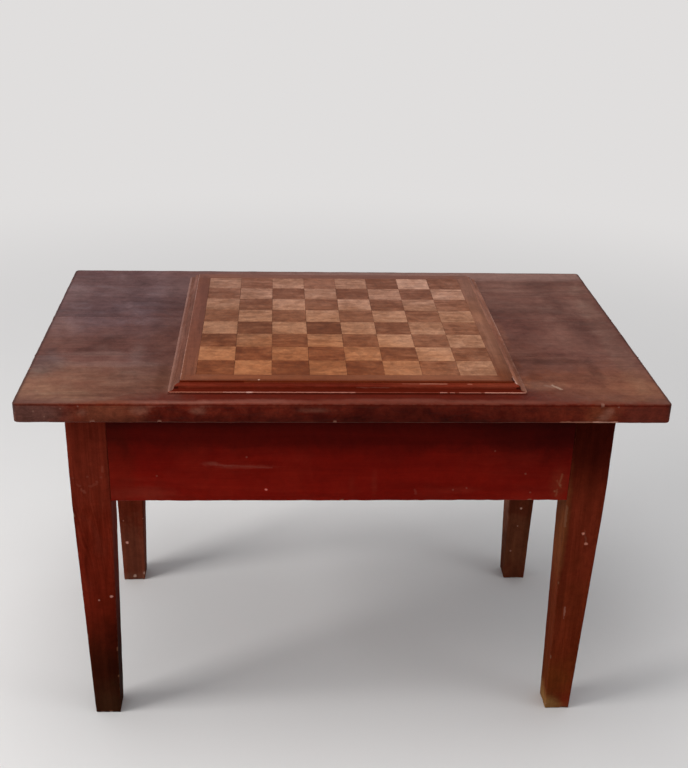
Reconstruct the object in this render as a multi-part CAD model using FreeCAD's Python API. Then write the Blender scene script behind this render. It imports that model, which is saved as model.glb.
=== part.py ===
import FreeCAD, Part
import math
import os

# Low games table: an edge-glued top on a tenoned frame of aprons and tapered legs, with a raised
# chessboard of 64 inlaid squares, a mitred border and a mitred moulding fixed on the top.
# Millimetres. +X runs along the table, -Y is the front, +Z is up.
# The origin is on the floor under the middle of the top.

# ---- table top ----
TOP_LENGTH = 845.0
TOP_DEPTH = 540.0
TOP_THICKNESS = 27.0
TABLE_HEIGHT = 545.0
FRONT_PLANK_WIDTH = 163.0
MIDDLE_PLANK_WIDTH = 152.0
TOP_CORNER_RADIUS = 4.0
TOP_ARRIS_RADIUS = 2.0
TONGUE_THICKNESS = 6.0
TONGUE_WIDTH = 22.0
TONGUE_END_MARGIN = 60.0

# ---- legs ----
END_OVERHANG = 54.0
SIDE_OVERHANG = 52.0
LEG_SECTION = 54.0
LEG_ARRIS_CHAMFER = 1.6
TAPER_END_OUTER = 6.0
TAPER_END_INNER = 11.0
TAPER_SIDE_OUTER = 14.0
TAPER_SIDE_INNER = 2.0
FOOT_EASE = 1.5

# ---- aprons ----
APRON_HEIGHT = 143.0
APRON_THICKNESS = 22.0
APRON_ARRIS_RADIUS = 2.0
TENON_THICKNESS = 9.0
TENON_TOP_SHOULDER = 22.0
TENON_BOTTOM_SHOULDER = 14.0
TENON_WALL = 3.0

# ---- corner blocks and cleats under the top ----
CORNER_BLOCK_REACH = 60.0
CORNER_BLOCK_HEIGHT = 38.0
CLEAT_WIDTH = 20.0
CLEAT_HEIGHT = 22.0
CLEAT_END_GAP = 18.0
CLEAT_SCREW_SPREAD = 0.7
LONG_CLEAT_SCREWS = 2
SHORT_CLEAT_SCREWS = 1

# ---- raised chessboard ----
SQUARE_SIZE = 50.0
SQUARES_PER_SIDE = 8
BOARD_OFFSET_X = 5.0
BOARD_OFFSET_Y = -2.0
CORE_THICKNESS = 8.0
INLAY_THICKNESS = 3.5
BORDER_WIDTH = 19.5

# ---- moulding round the board, inner edge to outer edge ----
BORDER_EDGE_DROP = 2.6
OVOLO_WIDTH = 6.9
OVOLO_HEIGHT = 3.4
COVE_WIDTH = 3.5
COVE_HEIGHT = 4.0
BASE_FILLET_WIDTH = 4.9

# ---- screws and brads ----
SCREW_SHANK_DIAMETER = 4.0
SCREW_HEAD_DIAMETER = 8.0
SCREW_HEAD_HEIGHT = 2.6
SCREW_BITE = 14.0
BOARD_SCREW_BITE = 5.0
BOARD_SCREW_EDGE_MARGIN = 50.0
BOARD_SCREW_CLEAT_MARGIN = 26.0
BRAD_THICKNESS = 1.4
BRAD_LENGTH = 18.0
BRADS_PER_SIDE = 3
BRAD_SPREAD = 0.85
BRAD_SINK = 1.0

# ---- clearances ----
MORTISE_CLEARANCE = 0.2
MORTISE_END_GAP = 0.8
TONGUE_CLEARANCE = 0.1
TONGUE_EDGE_GAP = 0.8
SCREW_CLEARANCE = 0.1
BRAD_CLEARANCE = 0.05

# ---- sizes that follow from the ones above ----
UNDER_TOP = TABLE_HEIGHT - TOP_THICKNESS
APRON_BOTTOM = UNDER_TOP - APRON_HEIGHT
LEG_OUTER_X = TOP_LENGTH / 2 - END_OVERHANG
LEG_OUTER_Y = TOP_DEPTH / 2 - SIDE_OVERHANG
LEG_INNER_X = LEG_OUTER_X - LEG_SECTION
LEG_INNER_Y = LEG_OUTER_Y - LEG_SECTION
APRON_INNER_X = LEG_OUTER_X - APRON_THICKNESS
APRON_INNER_Y = LEG_OUTER_Y - APRON_THICKNESS
TENON_INSET = (APRON_THICKNESS - TENON_THICKNESS) / 2
MORTISE_DEPTH = LEG_SECTION - TENON_INSET - TENON_THICKNESS - MORTISE_CLEARANCE - TENON_WALL
TENON_LENGTH = MORTISE_DEPTH - MORTISE_END_GAP
TENON_BASE = APRON_BOTTOM + TENON_BOTTOM_SHOULDER
TENON_HEIGHT = APRON_HEIGHT - TENON_TOP_SHOULDER - TENON_BOTTOM_SHOULDER
BOARD_THICKNESS = CORE_THICKNESS + INLAY_THICKNESS
BOARD_TOP = TABLE_HEIGHT + BOARD_THICKNESS
CORE_TOP = TABLE_HEIGHT + CORE_THICKNESS
GRID_HALF = SQUARE_SIZE * SQUARES_PER_SIDE / 2
BORDER_HALF = GRID_HALF + BORDER_WIDTH
MOULDING_WIDTH = OVOLO_WIDTH + COVE_WIDTH + BASE_FILLET_WIDTH
BOARD_HALF = BORDER_HALF + MOULDING_WIDTH
REACH = TOP_LENGTH + TOP_DEPTH

UP = FreeCAD.Vector(0, 0, 1)
ALONG_X = FreeCAD.Vector(1, 0, 0)
ALONG_Y = FreeCAD.Vector(0, 1, 0)
CORNERS = {
    "front_left": (-1, -1),
    "front_right": (1, -1),
    "back_left": (-1, 1),
    "back_right": (1, 1),
}
SIDES = {"front": 0, "right": 90, "back": 180, "left": 270}


def point(x, y, z=0.0):
    """Vector from its coordinates."""
    return FreeCAD.Vector(x, y, z)


def block(low, high):
    """Box between two opposite corners."""
    size = high - low
    return Part.makeBox(size.x, size.y, size.z, low)


def prism(outline, base, height):
    """Upright solid on a closed outline of x, y points."""
    return polygon_face([point(x, y, base) for x, y in outline]).extrude(UP * height)


def polygon_face(corners):
    """Flat face inside a closed outline of points."""
    return Part.Face(Part.makePolygon(corners + corners[:1]))


def stacked_solid(sections):
    """Solid through outlines of equal count, one above the other, with flat faces between them."""
    faces = [polygon_face(sections[0]), polygon_face(sections[-1])]
    for lower, upper in zip(sections, sections[1:]):
        for i in range(len(lower)):
            after = (i + 1) % len(lower)
            faces.append(polygon_face([lower[i], lower[after], upper[after], upper[i]]))
    return Part.makeSolid(Part.makeShell(faces))


def rounded_rectangle(x_range, y_range, z, radius):
    """Closed wire of a rectangle with rounded corners, at height z."""
    (x0, x1), (y0, y1) = x_range, y_range
    diagonal = radius * (1 - math.sqrt(0.5))
    line, arc = Part.LineSegment, Part.Arc
    edges = [
        line(point(x0 + radius, y0, z), point(x1 - radius, y0, z)),
        arc(point(x1 - radius, y0, z), point(x1 - diagonal, y0 + diagonal, z), point(x1, y0 + radius, z)),
        line(point(x1, y0 + radius, z), point(x1, y1 - radius, z)),
        arc(point(x1, y1 - radius, z), point(x1 - diagonal, y1 - diagonal, z), point(x1 - radius, y1, z)),
        line(point(x1 - radius, y1, z), point(x0 + radius, y1, z)),
        arc(point(x0 + radius, y1, z), point(x0 + diagonal, y1 - diagonal, z), point(x0, y1 - radius, z)),
        line(point(x0, y1 - radius, z), point(x0, y0 + radius, z)),
        arc(point(x0, y0 + radius, z), point(x0 + diagonal, y0 + diagonal, z), point(x0 + radius, y0, z)),
    ]
    return Part.Wire([edge.toShape() for edge in edges])


def edges_at_height(solid, z):
    """Edges of the solid that lie flat at height z."""
    return [e for e in solid.Edges if abs(e.BoundBox.ZMin - z) < 1e-6 and abs(e.BoundBox.ZMax - z) < 1e-6]


def spaced(half_length, count):
    """Evenly spaced places from -half_length to half_length, or the middle when there is one."""
    if count == 1:
        return [0.0]
    return [half_length * (2 * i / (count - 1) - 1) for i in range(count)]


# ---- fasteners -------------------------------------------------------------------------------

def screw(seat, length):
    """Round-head wood screw, driven up: seat is where its head meets the wood."""
    head = Part.makeCylinder(SCREW_HEAD_DIAMETER / 2, SCREW_HEAD_HEIGHT, seat - UP * SCREW_HEAD_HEIGHT)
    shank = Part.makeCylinder(SCREW_SHANK_DIAMETER / 2, length, seat)
    return head.fuse(shank).removeSplitter()


def screw_hole(seat, length):
    """Hole for the shank of a screw, with a small clearance round it and at its tip."""
    return Part.makeCylinder(SCREW_SHANK_DIAMETER / 2 + SCREW_CLEARANCE, length + SCREW_CLEARANCE, seat)


def corner_block_screws():
    """One screw up into the top from each corner block: where its head seats, and its length."""
    x, y = corner_block_middle()
    foot = UNDER_TOP - CORNER_BLOCK_HEIGHT
    return [(point(sx * x, sy * y, foot), CORNER_BLOCK_HEIGHT + SCREW_BITE) for sx, sy in CORNERS.values()]


def cleat_layout(side):
    """Half length of the cleat on one side, the apron face that it lies on, and its screws."""
    if side in ("front", "back"):
        return LEG_INNER_X - CORNER_BLOCK_REACH - CLEAT_END_GAP, APRON_INNER_Y, LONG_CLEAT_SCREWS
    return LEG_INNER_Y - CORNER_BLOCK_REACH - CLEAT_END_GAP, APRON_INNER_X, SHORT_CLEAT_SCREWS


def cleat_screws():
    """Screws up into the top through the four cleats: seats and lengths."""
    foot = UNDER_TOP - CLEAT_HEIGHT
    length = CLEAT_HEIGHT + SCREW_BITE
    seats = []
    for side, angle in SIDES.items():
        half, inner, count = cleat_layout(side)
        turn = FreeCAD.Rotation(UP, angle)
        for x in spaced(half * CLEAT_SCREW_SPREAD, count):
            seats.append((turn.multVec(point(x, CLEAT_WIDTH / 2 - inner, foot)), length))
    return seats


def board_screws():
    """Screws up through the top into the board's core: seats and lengths."""
    x = GRID_HALF - BOARD_SCREW_EDGE_MARGIN
    y = APRON_INNER_Y - CLEAT_WIDTH - BOARD_SCREW_CLEAT_MARGIN
    length = TOP_THICKNESS + BOARD_SCREW_BITE
    return [(point(BOARD_OFFSET_X + sx * x, sy * y, UNDER_TOP), length) for sx, sy in CORNERS.values()]


def group_of_screws(seats):
    """One group of separate screws."""
    return Part.makeCompound([screw(seat, length) for seat, length in seats])


def drilled(solid, seats):
    """The solid with a hole for each screw."""
    return solid.cut(Part.makeCompound([screw_hole(seat, length) for seat, length in seats]))


# ---- table top -------------------------------------------------------------------------------

def plank_joints():
    """Y of the two glue lines between the planks."""
    front = -TOP_DEPTH / 2 + FRONT_PLANK_WIDTH
    return front, front + MIDDLE_PLANK_WIDTH


def tongue(y, width, gap):
    """Loose tongue across one glue line, or with a gap the groove that it lies in."""
    half_length = TOP_LENGTH / 2 - TONGUE_END_MARGIN + gap
    middle_z = TABLE_HEIGHT - TOP_THICKNESS / 2
    half_height = TONGUE_THICKNESS / 2 + gap
    low = point(-half_length, y - width / 2, middle_z - half_height)
    high = point(half_length, y + width / 2, middle_z + half_height)
    return block(low, high)


def top_slab():
    """The whole top, with rounded corners and eased arrises, before it is split into planks."""
    half_x = TOP_LENGTH / 2
    half_y = TOP_DEPTH / 2
    outline = rounded_rectangle((-half_x, half_x), (-half_y, half_y), UNDER_TOP, TOP_CORNER_RADIUS)
    slab = Part.Face(outline).extrude(UP * TOP_THICKNESS)
    arrises = edges_at_height(slab, UNDER_TOP) + edges_at_height(slab, TABLE_HEIGHT)
    return slab.makeFillet(TOP_ARRIS_RADIUS, arrises)


def top_planks(screw_seats):
    """Front, middle and back planks, grooved for their tongues and drilled for the screws."""
    first, second = plank_joints()
    edges = (-TOP_DEPTH, first, second, TOP_DEPTH)
    groove_width = TONGUE_WIDTH + 2 * TONGUE_EDGE_GAP
    grooves = [tongue(y, groove_width, TONGUE_CLEARANCE) for y in (first, second)]
    slab = drilled(top_slab().cut(Part.makeCompound(grooves)), screw_seats)
    planks = {}
    for name, low, high in zip(("front", "middle", "back"), edges, edges[1:]):
        band = block(point(-REACH, low, 0), point(REACH, high, TABLE_HEIGHT + TOP_THICKNESS))
        planks["top_plank_" + name] = slab.common(band)
    return planks


# ---- legs and aprons ----------------------------------------------------------------------------

def leg_section(x_sign, y_sign, z, share, shrink=0.0):
    """Outline of a leg at height z: share is 0 at the apron and 1 at the floor."""
    x_out = LEG_OUTER_X - TAPER_END_OUTER * share - shrink
    x_in = LEG_INNER_X + TAPER_END_INNER * share + shrink
    y_out = LEG_OUTER_Y - TAPER_SIDE_OUTER * share - shrink
    y_in = LEG_INNER_Y + TAPER_SIDE_INNER * share + shrink
    x0, x1 = sorted((x_sign * x_out, x_sign * x_in))
    y0, y1 = sorted((y_sign * y_out, y_sign * y_in))
    cut = LEG_ARRIS_CHAMFER
    return [
        point(x0 + cut, y0, z),
        point(x1 - cut, y0, z),
        point(x1, y0 + cut, z),
        point(x1, y1 - cut, z),
        point(x1 - cut, y1, z),
        point(x0 + cut, y1, z),
        point(x0, y1 - cut, z),
        point(x0, y0 + cut, z),
    ]


def mortises(x_sign, y_sign):
    """Mortise for the front or back apron and mortise for the end apron of one leg."""
    gap = MORTISE_CLEARANCE
    near = TENON_INSET - gap
    far = TENON_INSET + TENON_THICKNESS + gap
    z0 = TENON_BASE - gap
    z1 = TENON_BASE + TENON_HEIGHT + gap
    long_low = point(LEG_INNER_X, LEG_OUTER_Y - far, z0)
    long_high = point(LEG_INNER_X + MORTISE_DEPTH, LEG_OUTER_Y - near, z1)
    end_low = point(LEG_OUTER_X - far, LEG_INNER_Y, z0)
    end_high = point(LEG_OUTER_X - near, LEG_INNER_Y + MORTISE_DEPTH, z1)
    return mirrored(Part.makeCompound([block(long_low, long_high), block(end_low, end_high)]), x_sign, y_sign)


def mirrored(shape, x_sign, y_sign):
    """The shape of the right back quarter, put into the quarter of the given signs."""
    if x_sign < 0:
        shape = shape.mirror(point(0, 0, 0), ALONG_X)
    if y_sign < 0:
        shape = shape.mirror(point(0, 0, 0), ALONG_Y)
    return shape


def leg(x_sign, y_sign):
    """Leg that is straight beside the aprons and tapers from their bottom edge to the floor."""
    ease_share = 1 - FOOT_EASE / APRON_BOTTOM
    sections = [
        leg_section(x_sign, y_sign, 0, 1, FOOT_EASE),
        leg_section(x_sign, y_sign, FOOT_EASE, ease_share),
        leg_section(x_sign, y_sign, APRON_BOTTOM, 0),
        leg_section(x_sign, y_sign, UNDER_TOP, 0),
    ]
    return stacked_solid(sections).cut(mortises(x_sign, y_sign))


def front_apron(shoulder, outer_face):
    """Apron on the front side: shoulders meet the legs, tenons enter them."""
    body = block(
        point(-shoulder, -outer_face, APRON_BOTTOM),
        point(shoulder, -outer_face + APRON_THICKNESS, UNDER_TOP),
    )
    lower = [e for e in edges_at_height(body, APRON_BOTTOM) if e.BoundBox.XLength > APRON_THICKNESS]
    body = body.makeFillet(APRON_ARRIS_RADIUS, lower)
    tenon_end = shoulder + TENON_LENGTH
    tenon_face = -outer_face + TENON_INSET
    tenons = block(
        point(-tenon_end, tenon_face, TENON_BASE),
        point(tenon_end, tenon_face + TENON_THICKNESS, TENON_BASE + TENON_HEIGHT),
    )
    return body.fuse(tenons).removeSplitter()


def apron(side):
    """Apron of one side, turned to its place."""
    long_side = side in ("front", "back")
    shoulder = LEG_INNER_X if long_side else LEG_INNER_Y
    outer = LEG_OUTER_Y if long_side else LEG_OUTER_X
    piece = front_apron(shoulder, outer)
    piece.rotate(point(0, 0, 0), UP, SIDES[side])
    return piece


# ---- corner blocks and cleats ---------------------------------------------------------------------

def corner_block_outline():
    """Block that fills the corner between two aprons and is notched round the leg."""
    return [
        (APRON_INNER_X, LEG_INNER_Y - CORNER_BLOCK_REACH),
        (APRON_INNER_X, LEG_INNER_Y),
        (LEG_INNER_X, LEG_INNER_Y),
        (LEG_INNER_X, APRON_INNER_Y),
        (LEG_INNER_X - CORNER_BLOCK_REACH, APRON_INNER_Y),
    ]


def corner_block_middle():
    """Place of the block's screw: halfway between the leg's corner and the block's long face."""
    low_x, low_y = corner_block_outline()[0]
    depth = (LEG_INNER_X + LEG_INNER_Y - low_x - low_y) / 4
    return LEG_INNER_X - depth, LEG_INNER_Y - depth


def corner_block(x_sign, y_sign, screw_seats):
    """One corner block, glued to the aprons and screwed to the top."""
    solid = prism(corner_block_outline(), UNDER_TOP - CORNER_BLOCK_HEIGHT, CORNER_BLOCK_HEIGHT)
    return drilled(mirrored(solid, x_sign, y_sign), screw_seats)


def cleat(side, screw_seats):
    """Cleat of one side, glued to the apron and screwed to the top."""
    half, inner, _ = cleat_layout(side)
    low = point(-half, -inner, UNDER_TOP - CLEAT_HEIGHT)
    high = point(half, -inner + CLEAT_WIDTH, UNDER_TOP)
    strip = block(low, high)
    strip.rotate(point(0, 0, 0), UP, SIDES[side])
    return drilled(strip, screw_seats)


# ---- chessboard --------------------------------------------------------------------------------

def on_board(shape):
    """Moves a shape made round the origin to the board's place on the top."""
    shape.translate(point(BOARD_OFFSET_X, BOARD_OFFSET_Y))
    return shape


def board_core(screw_seats):
    """Panel under the squares and the border, with holes for the screws and brads."""
    low = point(-BORDER_HALF, -BORDER_HALF, TABLE_HEIGHT)
    high = point(BORDER_HALF, BORDER_HALF, CORE_TOP)
    panel = block(low, high).cut(brads(BRAD_CLEARANCE))
    return drilled(on_board(panel), screw_seats)


def squares_of_rank(rank, colour):
    """The inlaid squares of one colour in one rank, counted from the front."""
    first = (rank + (0 if colour == "dark" else 1)) % 2
    tiles = []
    for file in range(first, SQUARES_PER_SIDE, 2):
        corner = point(-GRID_HALF + file * SQUARE_SIZE, -GRID_HALF + rank * SQUARE_SIZE, CORE_TOP)
        tiles.append(Part.makeBox(SQUARE_SIZE, SQUARE_SIZE, INLAY_THICKNESS, corner))
    return on_board(Part.makeCompound(tiles))


def border_strip(angle):
    """One mitred strip of the flat border."""
    outline = [
        (-BORDER_HALF, -BORDER_HALF),
        (BORDER_HALF, -BORDER_HALF),
        (GRID_HALF, -GRID_HALF),
        (-GRID_HALF, -GRID_HALF),
    ]
    strip = prism(outline, CORE_TOP, INLAY_THICKNESS)
    strip.rotate(point(0, 0, 0), UP, angle)
    return on_board(strip)


def moulding_section(x):
    """Moulding profile across the front side: ovolo, cove and base fillet, set below the border."""
    turn = math.sqrt(0.5)
    inner, outer = -BORDER_HALF, -BOARD_HALF
    top = BOARD_TOP - BORDER_EDGE_DROP
    waist_y = inner - OVOLO_WIDTH
    waist_z = top - OVOLO_HEIGHT
    foot_y = waist_y - COVE_WIDTH
    foot_z = waist_z - COVE_HEIGHT

    def at(y, z):
        return point(x, y, z)

    ovolo_middle = at(inner - OVOLO_WIDTH * turn, top - OVOLO_HEIGHT * (1 - turn))
    cove_middle = at(waist_y - COVE_WIDTH * (1 - turn), waist_z - COVE_HEIGHT * turn)
    edges = [
        Part.LineSegment(at(inner, TABLE_HEIGHT), at(inner, top)),
        Part.Arc(at(inner, top), ovolo_middle, at(waist_y, waist_z)),
        Part.Arc(at(waist_y, waist_z), cove_middle, at(foot_y, foot_z)),
        Part.LineSegment(at(foot_y, foot_z), at(outer, foot_z)),
        Part.LineSegment(at(outer, foot_z), at(outer, TABLE_HEIGHT)),
        Part.LineSegment(at(outer, TABLE_HEIGHT), at(inner, TABLE_HEIGHT)),
    ]
    return Part.Face(Part.Wire([edge.toShape() for edge in edges]))


def moulding_strip(angle):
    """One length of moulding, mitred at both ends, with holes for its brads."""
    length = moulding_section(-BOARD_HALF).extrude(ALONG_X * (2 * BOARD_HALF))
    wedge = prism([(0, 0), (-REACH, -REACH), (REACH, -REACH)], 0, TABLE_HEIGHT * 2)
    strip = length.common(wedge)
    strip.rotate(point(0, 0, 0), UP, angle)
    strip = strip.cut(brads(BRAD_CLEARANCE))
    return on_board(strip)


def brads(gap):
    """Square brads through the moulding into the core, sunk below its face, or their holes."""
    waist = BOARD_THICKNESS - BORDER_EDGE_DROP - OVOLO_HEIGHT
    height = TABLE_HEIGHT + min(CORE_THICKNESS, waist) / 2
    head_y = -(BORDER_HALF + OVOLO_WIDTH - BRAD_SINK)
    half = BRAD_THICKNESS / 2 + gap
    rods = []
    for angle in SIDES.values():
        for x in spaced(GRID_HALF * BRAD_SPREAD, BRADS_PER_SIDE):
            low = point(x - half, head_y - gap, height - half)
            high = point(x + half, head_y + BRAD_LENGTH + gap, height + half)
            rod = block(low, high)
            rod.rotate(point(0, 0, 0), UP, angle)
            rods.append(rod)
    return Part.makeCompound(rods)


# ---- assembly ---------------------------------------------------------------------------------

def build_parts():
    """Every node of the table, by name."""
    block_seats = corner_block_screws()
    cleat_seats = cleat_screws()
    board_seats = board_screws()
    parts = top_planks(block_seats + cleat_seats + board_seats)
    for place, y in zip(("front", "back"), plank_joints()):
        parts["top_tongue_" + place] = tongue(y, TONGUE_WIDTH, 0.0)
    for name, (x_sign, y_sign) in CORNERS.items():
        parts["leg_" + name] = leg(x_sign, y_sign)
        parts["corner_block_" + name] = corner_block(x_sign, y_sign, block_seats)
    for side in SIDES:
        parts["apron_" + side] = apron(side)
        parts["top_cleat_" + side] = cleat(side, cleat_seats)
    parts["corner_block_screws"] = group_of_screws(block_seats)
    parts["cleat_screws"] = group_of_screws(cleat_seats)
    parts["board_screws"] = group_of_screws(board_seats)
    parts["board_core"] = board_core(board_seats)
    for rank in range(SQUARES_PER_SIDE):
        for colour in ("dark", "light"):
            name = "{}_squares_rank_{}".format(colour, rank + 1)
            parts[name] = squares_of_rank(rank, colour)
    for side, angle in SIDES.items():
        parts["board_border_" + side] = border_strip(angle)
        parts["board_moulding_" + side] = moulding_strip(angle)
    parts["moulding_brads"] = on_board(brads(0.0))
    return parts


os.makedirs("parts", exist_ok=True)
for node_name, node_shape in build_parts().items():
    node_shape.exportStep("parts/{}.step".format(node_name))
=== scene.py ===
"""Looks for a low games table: worn stained top, painted frame and a raised inlaid chessboard.

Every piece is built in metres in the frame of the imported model, where +X runs along the table,
-Y is the front and +Z is up. Detailed meshes with worn arrises stand for the planks, legs, aprons,
squares, border and moulding. Joinery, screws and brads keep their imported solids.
"""

import logging
import math
from dataclasses import dataclass, field, replace
from enum import Enum, IntEnum
from typing import Iterable, Sequence, Union

import bpy
import numpy as np
from mathutils import Matrix, Vector


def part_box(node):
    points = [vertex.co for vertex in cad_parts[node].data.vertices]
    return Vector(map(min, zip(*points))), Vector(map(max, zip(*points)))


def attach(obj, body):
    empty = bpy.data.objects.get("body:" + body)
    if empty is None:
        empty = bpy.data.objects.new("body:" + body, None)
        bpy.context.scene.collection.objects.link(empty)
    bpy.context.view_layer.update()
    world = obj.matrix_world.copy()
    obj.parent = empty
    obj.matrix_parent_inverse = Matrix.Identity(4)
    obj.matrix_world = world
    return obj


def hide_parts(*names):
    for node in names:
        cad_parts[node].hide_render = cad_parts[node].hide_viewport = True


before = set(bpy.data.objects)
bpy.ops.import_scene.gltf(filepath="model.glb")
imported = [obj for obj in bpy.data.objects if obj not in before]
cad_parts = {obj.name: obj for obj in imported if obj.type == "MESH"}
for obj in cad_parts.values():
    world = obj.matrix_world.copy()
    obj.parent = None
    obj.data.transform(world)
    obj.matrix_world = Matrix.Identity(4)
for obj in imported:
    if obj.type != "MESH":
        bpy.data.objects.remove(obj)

LOG = logging.getLogger("games_table")
MM = 0.001
TINY = 1e-9
"""Keeps a division from being one by nothing."""

Colour = tuple[float, float, float]
Place = tuple[float, float, float]
Span = tuple[float, float]
Socket = bpy.types.NodeSocket
Input = Union[Socket, float, Sequence[float]]


class Axis(Enum):
    """Direction that something runs in."""

    X = 0
    Y = 1
    Z = 2


class Side(Enum):
    """Side of the table, by its turn from the front in degrees."""

    FRONT = 0
    RIGHT = 90
    BACK = 180
    LEFT = 270

    @property
    def runs(self) -> Axis:
        """The way that a piece on this side runs."""
        return Axis.X if self in (Side.FRONT, Side.BACK) else Axis.Y

    @property
    def label(self) -> str:
        """Its word in the names of nodes and pieces."""
        return self.name.lower()


class Seed(IntEnum):
    """First seed of each group of random draws."""

    PLANK_CHIPS = 40
    PLANKS = 50
    LEG_CHIPS = 70
    LEGS = 90
    APRON_CHIPS = 110
    APRONS = 130
    TENONS = 150
    SQUARE_JOINTS = 200
    SQUARES = 300
    BORDER = 400
    MOULDING = 500


Arris = tuple[Axis, int, int]
"""One of a box's twelve edges: the way it runs, then which end it has on the two other axes."""

ARRISES: tuple[Arris, ...] = tuple((axis, a, b) for axis in Axis for a in (-1, 1) for b in (-1, 1))


# ---- meshes ------------------------------------------------------------------------------------


class Ripple:
    """Smooth noise in space that is the same on every run."""

    def __init__(self, seed: int, wavelength: float, waves: int = 16) -> None:
        """Draws the waves.

        Args:
            seed: Number that the waves are drawn from.
            wavelength: Typical distance between crests, in metres.
            waves: How many sine waves are added up.
        """
        rng = np.random.default_rng(seed)
        ways = rng.normal(size=(waves, 3))
        ways /= np.linalg.norm(ways, axis=1, keepdims=True)
        self._ways = ways * rng.uniform(0.5, 2.0, (waves, 1)) * (2 * math.pi / wavelength)
        self._phases = rng.uniform(0, 2 * math.pi, waves)

    def __call__(self, points: np.ndarray) -> np.ndarray:
        """Gives the noise at each point, from -1 to 1."""
        total = np.sin(points @ self._ways.T + self._phases).sum(axis=1)
        return np.clip(total / math.sqrt(len(self._phases)), -1, 1)

    def share(self, points: np.ndarray) -> np.ndarray:
        """Gives the noise at each point, from 0 to 1."""
        return 0.5 + 0.5 * self(points)


@dataclass
class Surface:
    """A closed mesh with its painted values, before it becomes an object."""

    points: np.ndarray
    faces: list[list[int]]
    values: dict[str, np.ndarray]

    def joined(self, other: "Surface") -> "Surface":
        """Adds another mesh to this one.

        Args:
            other: The mesh to add. It has the same painted values.

        Returns:
            One mesh that holds both.
        """
        shift = len(self.points)
        faces = self.faces + [[index + shift for index in face] for face in other.faces]
        values = {name: np.concatenate([own, other.values[name]])
                  for name, own in self.values.items()}
        return Surface(np.concatenate([self.points, other.points]), faces, values)

    def piece(self, name: str, node: str, slot: str,
              material: bpy.types.Material) -> bpy.types.Object:
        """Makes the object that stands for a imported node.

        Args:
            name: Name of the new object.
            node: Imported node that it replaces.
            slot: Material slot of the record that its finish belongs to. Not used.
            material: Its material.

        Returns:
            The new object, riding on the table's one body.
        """
        mesh = bpy.data.meshes.new(name)
        mesh.from_pydata(self.points.tolist(), [], self.faces)
        mesh.validate()
        for label, numbers in self.values.items():
            layer = mesh.attributes.new(label, "FLOAT", "POINT")
            layer.data.foreach_set("value", numbers.astype(np.float32))
        mesh.polygons.foreach_set("use_smooth", [True] * len(mesh.polygons))
        mesh.materials.append(material)
        mesh.update()
        made = bpy.data.objects.new(name, mesh)
        bpy.context.scene.collection.objects.link(made)
        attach(made, "root")
        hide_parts(node)
        LOG.info("%s stands for %s with %d faces", name, node, len(mesh.polygons))
        return made


def dress(node: str, material: bpy.types.Material) -> None:
    """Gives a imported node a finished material.

    Args:
        node: The node's name.
        material: The material that it gets.
    """
    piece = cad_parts[node]
    for slot in piece.material_slots:
        slot.material = material
    LOG.info("%s keeps its solid and gets %s", node, material.name)


@dataclass(frozen=True)
class Chip:
    """A place where an arris has broken away."""

    arris: Arris
    at: float
    length: float
    depth: float


@dataclass(frozen=True)
class ChipSizes:
    """Smallest and largest length and depth of an arris's chips, in metres."""

    lengths: Span
    depths: Span


def scattered_chips(rng: np.random.Generator, arris: Arris, span: Span, count: int,
                    sizes: ChipSizes) -> list[Chip]:
    """Draws chips along one arris.

    Args:
        rng: Seeded source of the draws.
        arris: The arris that they lie on.
        span: Lowest and highest place along it, in metres.
        count: How many chips there are.
        sizes: How large they come out.

    Returns:
        The chips.
    """
    return [Chip(arris, rng.uniform(*span), rng.uniform(*sizes.lengths), rng.uniform(*sizes.depths))
            for _ in range(count)]


def lattice(lines: Sequence[np.ndarray]) -> tuple[np.ndarray, np.ndarray]:
    """Covers a box with four-sided faces along given lines.

    Args:
        lines: For each axis, the rising coordinates of the lines across it.

    Returns:
        The points, and the faces as rows of four point numbers, facing outwards.
    """
    shape = tuple(len(line) for line in lines)
    outside = np.ones(shape, bool)
    outside[1:-1, 1:-1, 1:-1] = False
    number = np.full(shape, -1)
    number[outside] = np.arange(outside.sum())
    grid = np.nonzero(outside)
    points = np.stack([line[place] for line, place in zip(lines, grid)], axis=1)
    faces = []
    for axis in range(3):
        for end in (0, -1):
            sheet = np.take(number, end, axis=axis)
            corners = [sheet[:-1, :-1], sheet[1:, :-1], sheet[1:, 1:], sheet[:-1, 1:]]
            quads = np.stack(corners, axis=-1).reshape(-1, 4)
            faces.append(quads[:, ::-1] if (end == 0) != (axis == 1) else quads)
    return points, np.concatenate(faces)


def round_in_plan(places: np.ndarray, corner: np.ndarray, ends: np.ndarray,
                  curve: float) -> np.ndarray:
    """Bends the points by a square corner so that the corner becomes a quarter circle.

    Args:
        places: The points, seen from above.
        corner: Where the corner is.
        ends: Which way is outwards on each of the two axes, as -1 or 1.
        curve: Radius of the circle.

    Returns:
        The moved points.
    """
    centre = corner - ends * curve
    offset = (places - centre) * ends
    inside = (offset > 0).all(axis=1)
    length = np.hypot(offset[:, 0], offset[:, 1])
    share = np.where(inside, offset.max(axis=1) / np.maximum(length, TINY), 1.0)
    return centre + offset * share[:, None] * ends


SMALLEST = 0.02 * MM
"""Least distance between two lines of a board, and least radius of an arris."""
END_REACH, FULLEST = 0.45, 0.48
"""How far the lines near a board's ends come in, as a share of its length, and its largest radius
as a share of its thinnest side."""
CHIP_LINES = np.array([-0.5, -0.38, -0.25, -0.12, 0.0, 0.12, 0.25, 0.38, 0.5])
"""Where extra lines cross a chip, as shares of its length from its middle."""
CHIP_BOWL, CHIP_REACH, CHIP_BARENESS = 0.7, 1.25, 2.2
"""How flat a chip's floor is, how far round it the wood is bare, and how soon it is wholly so."""
MID_ROUNDING = 0.29
"""How far the middle of a rounding leans away from both of its faces."""


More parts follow.
